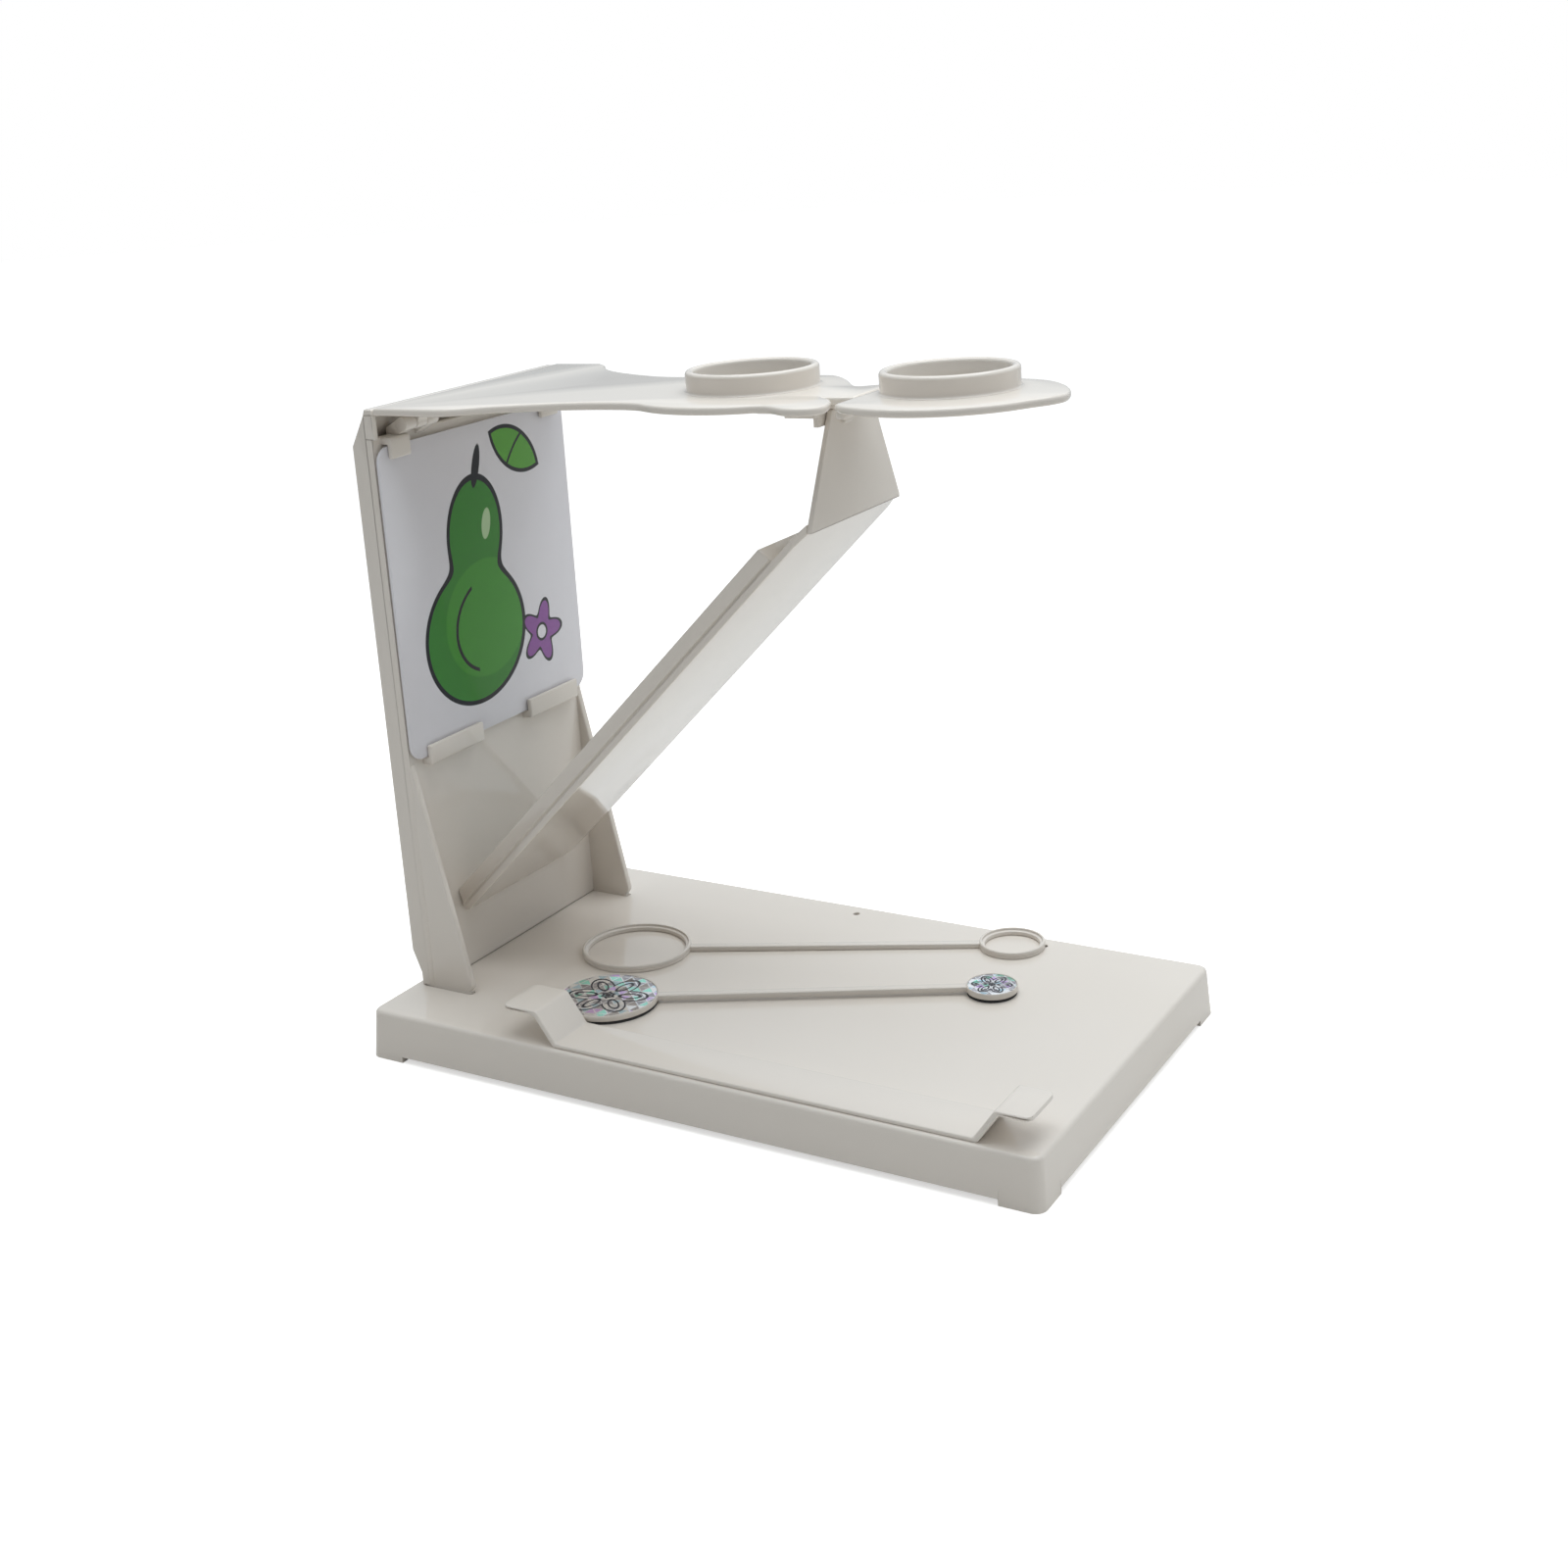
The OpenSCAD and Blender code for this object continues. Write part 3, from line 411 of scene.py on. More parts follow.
def openings():
    """The outlines of the four peg holes and the two slots."""
    pegs = [circle((x, y), peg_hole_r, 24) for x in peg_x for y in (-peg_y, peg_y)]
    slots = [box_outline(slot_x + slot_from, s * slot_y - slot_half,
                         slot_x + slot_to, s * slot_y + slot_half, slot_r, 3) for s in (-1, 1)]
    return pegs + slots


def tray():
    """Outer wall, top face, rim, inner wall and ceiling as one closed surface, with a
    short wall round each opening from the top face to the ceiling."""
    outer, inner = tray_profile()
    lift = lifted(base_ring(0, corner)) * foot_gap
    rings = []
    for depth, z in outer + inner:
        ring = base_ring(depth, max(corner - corner_loss * max(depth - flare, 0), least_corner))
        rings.append(np.column_stack([ring, np.full(len(ring), z) + (lift if z == 0 else 0)]))
    n, top = len(lift), len(outer) - 1
    faces, i = [], np.arange(n)
    order = list(range(top, -1, -1)) + list(range(top + 1, len(rings)))
    for p, q in zip(order[:-1], order[1:]):
        a, b, c, d = p * n + i, q * n + i, q * n + (i + 1) % n, p * n + (i + 1) % n
        faces += np.stack([a, b, c, d], 1).tolist()
    at = len(rings) * n
    tops, lows = [top * n + i], [at - n + i]
    for h in openings():
        m = len(h)
        j = np.arange(m)
        for d, z in ((hole_round, base_h), (0, base_h - hole_round), (0, base_h - wall)):
            rings.append(np.column_stack([moved_in(h[::-1], d), np.full(m, z)]))
        for k in (at, at + m):
            a, b = k + j, k + (j + 1) % m
            faces += np.stack([b, a, a + m, b + m], 1).tolist()
        tops.append(at + j)
        lows.append(at + 2 * m + j)
        at += 3 * m
    points = np.concatenate(rings)
    return points, faces + cap(points, tops, True) + cap(points, lows, False)


base = Solid().add(*tray())
print("faces of the tray:", len(base.faces))

# %% [markdown]
# A thin tray would drum and bend, so the real one has ribs below its top. Walls beside the
# two slots guide the upright's tabs, and round bosses hold the pegs. They are hardly seen,
# so each is a plain plate that hangs from the tray's ceiling and runs a little way into it.

# %% Ribs, sleeves and bosses
ceiling = base_h - wall
rib_y, rib_half, rib_depth, rib_reach = 22.8, 0.6, 6, (113.4, 66.4)
sleeve_off, sleeve_half, sleeve_low, sleeve_ends = 1.9, 0.55, 4, (-1, 20.6)
boss_r, boss_low, small_r, into = 2.6, 9.5, 0.2, 0.2


def hang(low, outline, holes=()):
    """Adds a plate to the base, from a height up into the tray's ceiling."""
    put(base, level, outline, low, ceiling + into, small_r, holes, steps=2)


def hang_box(low, x0, y0, x1, y1):
    """Adds a rectangular plate to the base."""
    hang(low, box_outline(x0, y0, x1, y1, small_r, 2))


for y in (-rib_y, rib_y):
    hang_box(ceiling - rib_depth, -rib_reach[0], y - rib_half, rib_reach[0], y + rib_half)
for x in np.arange(-2, 3) * (base_l - 2 * flare) / 6:
    hang_box(ceiling - rib_depth, x - rib_half, -rib_reach[1], x + rib_half, rib_reach[1])
for s in (-1, 1):
    for y in (s * slot_y - sleeve_off, s * slot_y + sleeve_off):
        hang_box(sleeve_low, slot_x + sleeve_ends[0], y - sleeve_half,
                 slot_x + sleeve_ends[1], y + sleeve_half)
for x in peg_x:
    for y in (-peg_y, peg_y):
        hang(boss_low, circle((x, y), boss_r, 32), [circle((x, y), peg_hole_r, 24)])
piece("base_tray", base, "base", "ivory_plastic", "base_shell")

# %% [markdown]
# The upright is a shallow rear shell, closed by a front panel that carries everything: two
# side gussets whose tabs stand in the base's slots, two lower clips and two upper tabs for
# the card, and the hinge lugs. On the real part all of these are one moulding with the
# panel. Here each is a plate of its own that runs a little way into the panel, which looks
# the same and keeps each outline simple.

# %% Front panel
# Gussets, their tabs in the base's slots, the card, its clips and tabs, and the hinge lugs.
gusset_y, gusset_t, gusset_toe, gusset_h, gusset_r, gusset_lean = 43.85, 2.4, 15.3, 76, 3.0, 12
stand_from, stand_to, stand_depth, stand_over = 1.2, 19.1, 11, 1.2
card_drop, card_h, clip_reach, clip_below = 2.7, 98.6, 3.8, 2.7
hook_h, hook_t, clip_y0, clip_half, tab_y0, tab_half = 6.5, 1.6, 26.3, 13.5, 37.8, 4.5
knuckle_y, knuckle_r, lug_off, lug_half, rod_lug_y, rod_lug_half = 29.3, 2.2, 5.2, 2.4, 22, 2.9
over, gusset_gap, card_play, tab_play = 0.1, 0.3, 0.2, 0.4
card_top = panel_top - card_drop
card_foot = card_top - card_h
clip_out = face_x + clip_reach
clip_foot = card_foot - clip_below
root_x, hook_in, lug_foot = face_x - 1, clip_out - hook_t, panel_top - 1.6


def gusset_outline():
    """Up along the panel, and forward to a round toe: an arc from straight down to the
    lean of the gusset's front edge, which runs on to its tip."""
    low = base_h + gusset_gap
    toe_at = (face_x + gusset_toe - gusset_r, low + gusset_r)
    return np.concatenate([[[root_x, low]], bow(toe_at, gusset_r, -90, gusset_lean, 8),
                           [[face_x + 0.2, base_h + gusset_h], [root_x, base_h + gusset_h]]])


lower_clip = filleted([(root_x, clip_foot), (clip_out, clip_foot), (clip_out, clip_foot + hook_h),
                       (hook_in, clip_foot + hook_h), (hook_in, card_foot - card_play),
                       (root_x, card_foot - card_play)], [0, 1.0, 0.6, 0.6, 0.3, 0])
tab_low, tab_top = panel_top - hook_h, panel_top - 0.05
upper_tab = filleted([(root_x, card_top + tab_play), (hook_in, card_top + tab_play),
                      (hook_in, tab_low), (clip_out, tab_low), (clip_out, tab_top),
                      (root_x, tab_top)], [0, 0.3, 0.6, 0.6, 1.0, 0])
hinge_lug = filleted([(seam_x, panel_top - 1), (root_x, lug_foot), (face_x, lug_foot),
                      (hinge[0], hinge[1] - knuckle_r), (hinge[0], hinge[1] + knuckle_r),
                      (seam_x, panel_top + 2)], 0.3, 3)
rod_lug = filleted([(root_x, rod_at[1] - 1.2), (rod_at[0] + 0.6, rod_at[1] - 1.2),
                    (rod_at[0], rod_at[1] + barrel_r), (root_x, rod_at[1] + barrel_r)], 0.2, 3)
stand = box_outline(slot_x + stand_from, base_h - stand_depth,
                    slot_x + stand_to, base_h + stand_over, 1)
panel = Solid()
put(panel, facing_x, box_outline(-half_up, base_h, half_up, panel_top, 0.15), seam_x, face_x, 0.35)
for s in (-1, 1):
    across(panel, gusset_outline(), s * gusset_y, s * (gusset_y + gusset_t), 0.5)
    across(panel, stand, s * gusset_y, s * (gusset_y + gusset_t), 0.4)
    across(panel, lower_clip, s * clip_y0 - clip_half, s * clip_y0 + clip_half, 0.45)
    across(panel, upper_tab, s * tab_y0 - tab_half, s * tab_y0 + tab_half, 0.45)
    for d in (-1, 1):
        mid = s * knuckle_y + d * lug_off
        across(panel, hinge_lug, mid - lug_half, mid + lug_half, 0.3)
        drum(panel, hinge, knuckle_r, mid - lug_half - over, mid + lug_half + over)
    mid = s * rod_lug_y
    across(panel, rod_lug, mid - rod_lug_half, mid + rod_lug_half, 0.25)
    drum(panel, rod_at, barrel_r, mid - rod_lug_half - over, mid + rod_lug_half + over)
piece("front_panel_moulding", panel, "upright", "ivory_plastic", "upright_front_panel")

# %% [markdown]
# The rear shell is open towards the panel. Its visible outside is one bent profile carried
# along Y: a foot chamfer, a flat back, a wide top chamfer and a thin lip behind the arm.
# The two cheeks close its sides. The walls are separate plates again, a hair larger than
# the cheeks' outline, so that no two faces lie in one plane. The four screw pockets are
# round holes in the back wall, each with a ring at its bottom for the screw.

# %% Rear shell
# The walls are one skin thick and stand proud of the cheeks' outline by a hair.
shell_depth, lip_reach, skin, proud = 8, 1.1, 1.8, 0.02
pocket_y, pocket_low, pocket_high, pocket_r, screw_ring_r, screw_r = 30, 26, 34, 2.5, 4.0, 1.35
back_x, lip_front = face_x - shell_depth, face_x + lip_reach
foot_x, crest_x, lip_back, lip_top = back_x + 2.8, back_x + 5.3, back_x + 6.1, up_top + lip_h
foot_z, low_z, high_z = base_h + 4.4, base_h + 12, up_top - 9.4
wide = half_up - 0.5
outside = [(foot_x, base_h), (seam_x, base_h), (seam_x, up_top), (lip_front, up_top),
           (lip_front, lip_top), (lip_back, lip_top), (crest_x, up_top),
           (back_x, high_z), (back_x, low_z), (foot_x, foot_z)]
side = [(x + (0.45 if x == seam_x else 0), z) for x, z in outside]
cheek = filleted(side, [0.5, 0.3, 0.1, 0.3, 0.5, 0.4, 1.2, 1.6, 1.6, 1.0])
foot_inner, low_inner = (foot_x + skin, foot_z + 0.4), (back_x + skin, low_z + 0.2)
high_inner, top_inner = (back_x + skin, high_z - 0.4), (seam_x, up_top - 2.4)
lip = filleted([(crest_x - 0.3, up_top - 2.0), top_inner, (seam_x, up_top), (lip_front, up_top),
                (lip_front, lip_top), (lip_back, lip_top), (crest_x, up_top)],
               [0, 0, 0, 0.2, 0.5, 0.4, 0], 4)
pockets = [(y, z) for y in (-pocket_y, pocket_y)
           for z in (base_h + pocket_low, up_top - pocket_high)]
shell = Solid()
for s in (-1, 1):
    across(shell, cheek, s * (half_up - 2), s * half_up, 0.5)
    across(shell, box_outline(seam_x - 0.2, panel_top - 0.3, face_x + 1, up_top, 0.1),
           s * (half_up - 2), s * half_up, 0.3)
put(shell, facing_back, box_outline(-wide, low_z, wide, high_z, 0.02), -back_x - skin,
    -back_x + proud, 0.02, [circle(p, pocket_r, 40) for p in pockets], steps=1)
for strip in (
        [(foot_x, base_h), (foot_x + skin, base_h), foot_inner, (foot_x, foot_z)],
        [(foot_x, foot_z), foot_inner, low_inner, (back_x, low_z)],
        [(back_x, high_z), high_inner, top_inner, (crest_x, up_top)]):
    across(shell, moved_in(np.array(strip, float), -proud), -wide, wide, 0.02, 1)
across(shell, moved_in(lip, -proud), -wide, wide, 0.05, 1)
for p in pockets:
    put(shell, facing_back, circle(p, screw_ring_r, 40), -back_x - 3.0, -back_x - 0.3, 0.1,
        [circle(p, screw_r, 40)], steps=1)
piece("rear_shell_moulding", shell, "upright", "ivory_plastic", "upright_rear_shell")

# %% [markdown]
# The card is a stiff laminated sheet with rounded corners. It stands in the lower clips and
# its top edge goes under the upper tabs. A thin plate with a small edge radius catches a
# line of light along its rim, which a flat rectangle would not.

# %% Picture card
card_half, card_r, card_t = 46.65, 5, 0.9
card = Solid()
put(card, facing_x, box_outline(-card_half, card_foot, card_half, card_top, card_r, 10),
    face_x + card_gap, face_x + card_gap + card_t, 0.12, steps=2)
piece("card_sheet", card, "card", "printed_card", "picture_card")

# %% [markdown]
# The arm and the right eyepiece's plate have free-form outlines, like a pair of spectacles.
# Each outline is a smooth curve through a few points: between two neighbours it is a cubic
# whose slopes follow the points on either side. The mould's edge rounding is larger here,
# and it gives the soft highlight that runs along the rim.


# %% Arm
def through(points, n=12):
    """A curve through all but the end points, n steps between each two neighbours:
    half of (2b + (c - a) t + (2a - 5b + 4c - d) t^2 + (3b - a - 3c + d) t^3)."""
    p = np.array(points, float)
    t = np.linspace(0, 1, n, endpoint=False)[:, None]
    out = [0.5 * (2 * b + (c - a) * t + (2 * a - 5 * b + 4 * c - d) * t ** 2
                  + (3 * b - a - 3 * c + d) * t ** 3)
           for a, b, c, d in zip(p, p[1:], p[2:], p[3:])]
    return np.concatenate(out + [p[-2:-1]])


# The left eye's distance from the front face, the distance between the pupils, the arm's
# gap above the panel, its thickness, edge, bore and the radius of the plate round the eye.
arm_reach, pupils, arm_gap, arm_t, rim_r, bore_r, disc_r = 105.7, 63, 0.1, 2.4, 0.95, 17.95, 36.6
# Where the arm's root ends at each side, and the bridge's end and sides.
near_root_x, far_root_x, bridge_end, bridge_near, bridge_far = 24.9, 20.2, 9.9, -16, 6.8
eye1 = face_x + arm_reach
eye2 = eye1 + pupils
mid_x = (eye1 + eye2) / 2
arm_z0 = up_top + arm_gap
arm_z1 = arm_z0 + arm_t
back = lip_front + 0.7 - eye1
near_root, far_root = near_root_x - arm_reach, far_root_x - arm_reach
bridge = mid_x + bridge_end - eye1
near_side = through([
    [near_root - 14, -half_up - 1.6], [near_root + 1.8, -half_up + 0.4], [-65.7, -39],
    [-46.7, -32], [-30, -29.7], [-0.54 * disc_r, -0.842 * disc_r], [-0.2 * disc_r, -disc_r]])
below_eye = bow([0, 0], disc_r, 242, 300, 18)[1:]
nose = through([[14, -34.5], [22, -31.8], [30.2, -35.7], [36.2, -35.4], [40.2, -31],
                [37.3, -21.4], [31.8, -16], [30, -14]])
above_eye = through([[44, 8], [37.3, 6.8], [33.3, 4.2], [30, 5.8], [21.3, 17.3], [13.3, 24.4],
                     [4, 25]])
far_side = through([[20, 24], [-1, 24.4], [-35.4, 19.2], [-51.8, 22], [-71, 31.5],
                    [far_root + 3.5, half_up - 3], [far_root - 0.5, half_up + 8]])
arm_loop = without_doubles(np.concatenate([
    [[back, -half_up], [near_root, -half_up]], near_side, below_eye, nose,
    [[bridge, bridge_near], [bridge, bridge_far]], above_eye, far_side,
    [[far_root, half_up], [back, half_up]]]), 0.05)
arm = Solid()
put(arm, lambda p: on_arm(moved(p, eye1)), arm_loop, arm_z0, arm_z1, rim_r,
    [circle((0, 0), bore_r, 96)])
knuckle = [(hinge[0] - 1.9, hinge[1]), (hinge[0] + knuckle_r, hinge[1]),
           (hinge[0] + 4.2, arm_z0 + 0.5), (hinge[0] - 1.9, arm_z0 + 0.5)]
for mid in (-knuckle_y, knuckle_y):
    drum(arm, hinge, knuckle_r, mid - lug_half, mid + lug_half)
    put(arm, lambda p: on_arm(along_y(p)), knuckle, -mid - lug_half + over,
        -mid + lug_half - over, 0.25)
piece("arm_moulding", arm, "arm", "ivory_plastic", "arm_plate")

# %% [markdown]
# The right eyepiece has a plate of its own, which slides on the bridge. A flange turned
# down along the seam stiffens it, and a flat tongue runs from there into the slide cover.

# %% Right eyepiece plate
seam_gap, flange_near, flange_t = 0.3, -27.5, 2.7
tongue_l, tongue_near, tongue_far = 12.1, -12.5, 3.5
septum_half, grip_gap = 0.8, 0.3
seam = mid_x + bridge_end + seam_gap - eye2
septum_x = mid_x - septum_half
cover_front = septum_x - grip_gap
outer_side = through([[24, -27], [31.4, -16.6], [35.3, -11], [36.7, -5.3], [34.1, 3.1],
                      [28.3, 11.7], [21.6, 17.5], [11.8, 20.3], [2, 21]])
right_loop = without_doubles(np.concatenate([
    [[seam, bridge_far], [seam, flange_near], [seam + 1, -28.4]], bow([0, 0], 35.5, 238, 324, 28),
    outer_side, bow([0, 0], 20.3, 88, 160, 16)[1:]]), 0.05)
right = Solid()
put(right, lambda p: on_arm(moved(p, eye2)), right_loop, arm_z0, arm_z1, rim_r,
    [circle((0, 0), bore_r, 96)])
put(right, on_arm, box_outline(seam + eye2, flange_near, seam + eye2 + flange_t, bridge_far, 0.5),
    arm_z0 - 1.9, arm_z0 + 0.6, 0.4)
put(right, on_arm, box_outline(cover_front - tongue_l, tongue_near,
                               eye2 + seam + 0.5, tongue_far, 0.4),
    arm_z0 - 1.5, arm_z0 - 0.1, 0.25)
piece("right_plate_moulding", right, "right_eyepiece", "ivory_plastic", "right_eyepiece_plate")

# %% [markdown]
# An eyecup is a ring: a straight collar with a round lip, a spigot below that fits the
# plate, and an inner ledge that the lens rests against. A profile spun round the axis gives
# all of it in one go. The lens is spun too, flat below and slightly domed above, so that
# its highlight bends as a real lens's does.


# %% Eyecups and lenses
# The collar, the ledge for the lens, the spigot below the plate, and the lens.
cup_in, cup_out, cup_h, lip_r = 17.1, 19.5, 6.1, 1.15
ledge_in, ledge_h, spigot_in, spigot_out, spigot_depth = 15.6, 1.2, 16.8, 17.9, 3.0
lens_r, lens_edge, focal, dome_share = 16.7, 1.5, 200, 0.491


def cup_profile():
    """(radius, height) pairs: from the spigot out to a small fillet at the foot, up the
    collar, round the lip by two quarter circles, down inside, along the ledge and down
    the spigot's inside."""
    foot = [(0.6, 0.0), (0.62, 0.05), (0.34, 0.12), (0.12, 0.3), (0.0, 0.6), (-0.04, 1.0)]
    lip_z = cup_h - lip_r
    return [(spigot_out, 0.0), *[(cup_out + d, z) for d, z in foot],
            *bow((cup_out - lip_r, lip_z), lip_r, 0, 90, 7),
            *bow((cup_in + lip_r, lip_z), lip_r, 90, 180, 7),
            (cup_in, ledge_h + 0.15), (cup_in - 0.15, ledge_h), (ledge_in + 0.15, ledge_h),
            (ledge_in, ledge_h - 0.15), (ledge_in, 0.3), (ledge_in + 0.1, 0.2), (spigot_in, 0.2),
            (spigot_in, -spigot_depth + 0.1), (spigot_in + 0.1, -spigot_depth),
            (spigot_out - 0.1, -spigot_depth), (spigot_out, -spigot_depth + 0.1)]


def lens_profile(steps=10):
    """The back is flat. The front is a sphere of 0.491 times the focal length: its height
    at radius r is its top less R - sqrt(R^2 - r^2)."""
    big = focal * dome_share
    top = 0.2 + big - math.sqrt(big ** 2 - ledge_in ** 2)
    flat = top - (big - math.sqrt(big ** 2 - lens_r ** 2)) - lens_edge
    dome = [(x, top - big + math.sqrt(big ** 2 - x * x))
            for x in np.linspace(lens_r - 0.1, 0.02, steps)]
    return [(0.02, flat), (lens_r - 0.1, flat), (lens_r, flat + 0.1),
            (lens_r, flat + lens_edge - 0.1)] + dome


for side, at, body in (("left", eye1, "arm"), ("right", eye2, "right_eyepiece")):
    for part, node, profile, n, slot in (
            ("_cup_moulding", "_eyecup", cup_profile(), 128, "ivory_plastic"),
            ("_lens_disc", "_lens", lens_profile(), 96, "lens_glass")):
        points, faces = spun(profile, n)
        eyepiece = Solid().add(on_arm(moved(points, at, 0, arm_z1)), faces)
        piece(side + part, eyepiece, body, slot, side + node)

# %% [markdown]
# The mirror panel is a back plate on a hinge rod, a flared frame on top of it and a thin
# mirror sunk in the frame. Its upper end is mitred, so that the upright septum stands
# flush with it. A plate made flat and then laid on the slope is the natural way: a point
# of the plate moves along the slope by its distance from the rod.

# %% Mirror panel
# u runs up the slope and w square to it, so w0 and w1 are the back plate's two faces.
back_t, panel_half, end_half, mitre = 2, 29.25, 26.9, 8
frame_h, mirror_t, sunk, frame_rim = 5.0, 2.0, 0.4, 2.2
w1 = w0 + back_t
u_top = (septum_x - rod_at[0]) * math.sqrt(2) + w1


def mitred(p):
    """Near the upper end, u shifts with w, so that the end stands upright."""
    q = p.copy()
    q[:, 0] += np.where(p[:, 0] > u_top - mitre, p[:, 2] - w1, 0)
    return on_slope(q)


mirror_back = Solid()
back_loop = [(0, -panel_half), (u_top - 5, -panel_half), (u_top, -end_half), (u_top, end_half),
             (u_top - 5, panel_half), (0, panel_half)]
put(mirror_back, mitred, filleted(back_loop, [0.3, 0.6, 0.2, 0.2, 0.6, 0.3], 4), w0, w1, 0.3)
for y0, y1 in ((-28.85, -25.3), (-18.7, 18.7), (25.3, 28.85)):
    drum(mirror_back, rod_at, barrel_r, y0, y1)
piece("mirror_back_moulding", mirror_back, "mirror_panel", "ivory_plastic", "mirror_back_plate")

# %% Mirror frame and mirror
groove_low, groove_top, groove_in, flare_out, flare_from = 0.5, 0.9, -0.6, 0.85, 28
frame_u = (3.2, u_top - 15)
floor_w, rim_w = w1 + frame_h - mirror_t - sunk, w1 + frame_h


def flared(p):
    """The frame's long sides have a groove at the foot and lean outwards above it, and its
    lower end is cut upright, 0.4 mm in front of the panel: there u is at least w plus the
    place of that plane on the slope."""
    q = p.copy()
    lean = np.interp(p[:, 2] - w1, [0, groove_low, groove_top, frame_h],
                     [groove_in, groove_in, 0.0, flare_out])
    q[:, 1] += np.sign(p[:, 1]) * np.where(np.abs(p[:, 1]) > flare_from, lean, 0)
    plane = (face_x + 0.4 - rod_at[0]) * math.sqrt(2)
    q[:, 0] = np.maximum(q[:, 0], plane + p[:, 2])
    return on_slope(q)


rim_profile = [(0.1, w1), (0, w1 + 0.1), (0, w1 + groove_low), (0, w1 + groove_top),
               (0, rim_w - 0.3), (0.1, rim_w - 0.1), (0.3, rim_w)]
points, faces = plate(
    box_outline(-1, -panel_half, frame_u[1], panel_half, 0.5), rim_profile,
    [box_outline(frame_u[0] + frame_rim, -panel_half + frame_rim,
                 frame_u[1] - frame_rim, panel_half - frame_rim, 0.5)],
    [(0, floor_w), (0, rim_w - 0.2), (0.2, rim_w)])
mirror_frame = Solid().add(flared(points), faces)
put(mirror_frame, on_slope, box_outline(frame_u[0] + 1, -28, frame_u[1] - 1, 28, 0.3),
    w1 + 0.05, floor_w, 0.05, steps=1)
piece("mirror_frame_moulding", mirror_frame, "mirror_panel", "ivory_plastic", "mirror_frame")

mirror_edge, mirror_half = frame_rim + 0.1, panel_half - frame_rim - 0.1
mirror = Solid()
put(mirror, on_slope, box_outline(frame_u[0] + mirror_edge, -mirror_half,
                                  frame_u[1] - mirror_edge, mirror_half, 0.4),
    floor_w, rim_w - sunk, 0.15, steps=2)
piece("mirror_plate", mirror, "mirror_panel", "mirror_face", "mirror_glass")

# %% Septum
septum_low, septum_top = septum_x + base_h + mirror_foot - face_x, span("septum", 2)[1]
top_half, shoulder = 12.2, 1.5
septum_loop = filleted([(-end_half, septum_low + 0.2), (end_half, septum_low + 0.2),
                        (end_half, septum_low + shoulder), (top_half, septum_top),
                        (-top_half, septum_top), (-end_half, septum_low + shoulder)],
                       [0.2, 0.2, 0.5, 1, 1, 0.5], 4)
septum = Solid()
put(septum, facing_x, septum_loop, septum_x, septum_x + 2 * septum_half, 0.35)
put(septum, facing_x, box_outline(-7.4, septum_top - 4.4, -2.4, septum_top - 1.4, 0.4),
    septum_x + 1.1, septum_x + 3.0, 0.35)
piece("septum_moulding", septum, "mirror_panel", "ivory_plastic", "septum")

# %% [markdown]
# The paper clip is a strip with a finger tab bent up at each end. Seen from the side it is
# one bent line with a thickness, so its outline is drawn in X and Z and carried across the
# strip's width. The tabs' corners are rounded in plan, which is done by narrowing the strip
# near its two ends by a quarter circle.

# %% Paper clip
# The tabs' lengths, the run of each slope, the tabs' height and the strip's thickness.
tab, far_tab, run, lift_h, clip_t, tab_r = 12.0, 10.0, 6.5, 9.6, 1.4, 2.4
bend_x = (clip_x0 + tab, clip_x0 + tab + run, clip_x1 - far_tab - run, clip_x1 - far_tab)
fold = clip_t * 0.4
ends = np.array([0, 0.15, 0.35, 0.7, 1.2, 1.8, tab_r])
bends = [0] * len(ends) + [1.6, 1.2, 1.2, 1.6] + [0] * len(ends)
clip_y = (front_y + 1.5, front_y + 18.5)


def bent_line(up, k):
    """One face of the strip from the side, at up above its lower face: along the near tab,
    down, along the base, up and along the far tab. Each bend shifts by k."""
    return ([(clip_x0 + e, lift_h + up) for e in ends]
            + [(bend_x[0] + k, lift_h + up), (bend_x[1] + k, up),
               (bend_x[2] - k, up), (bend_x[3] - k, lift_h + up)]
            + [(clip_x1 - e, lift_h + up) for e in ends[::-1]])


def narrowed(p):
    """Near each end the half width shrinks by r - sqrt(r^2 - t^2), t from 0 to r."""
    q = p.copy()
    t = np.clip(tab_r - np.minimum(p[:, 0] - clip_x0, clip_x1 - p[:, 0]), 0, tab_r)
    half, mid = (clip_y[1] - clip_y[0]) / 2, (clip_y[0] + clip_y[1]) / 2
    q[:, 2] = -mid + (p[:, 2] + mid) * (1 - (tab_r - np.sqrt(tab_r ** 2 - t ** 2)) / half)
    return moved(along_y(q), 0, 0, base_h)


clip = Solid()
strip = filleted(bent_line(0, -fold) + bent_line(clip_t, fold)[::-1], bends * 2)
put(clip, narrowed, strip, -clip_y[1], -clip_y[0], 0.45)
peg_r, peg_l, peg_tip = 1.0, 5, 0.75
for x in peg_x:
    points, faces = spun([(0.01, base_h - peg_l), (peg_tip, base_h - peg_l),
                          (peg_r, base_h - peg_l + 0.4), (peg_r, base_h + 0.4),
                          (0.01, base_h + 0.4)], 32)
    clip.add(moved(points, x, -peg_y), faces)
piece("paper_clip_moulding", clip, "clip", "ivory_plastic", "paper_clip")

# %% [markdown]
# Two wands lie on the base for pointing exercises. One has a ring at each end, the other a
# disc with a prismatic foil. Rings and discs are spun profiles and the rods are thin bars,
# each with the soft edges of a small moulding.

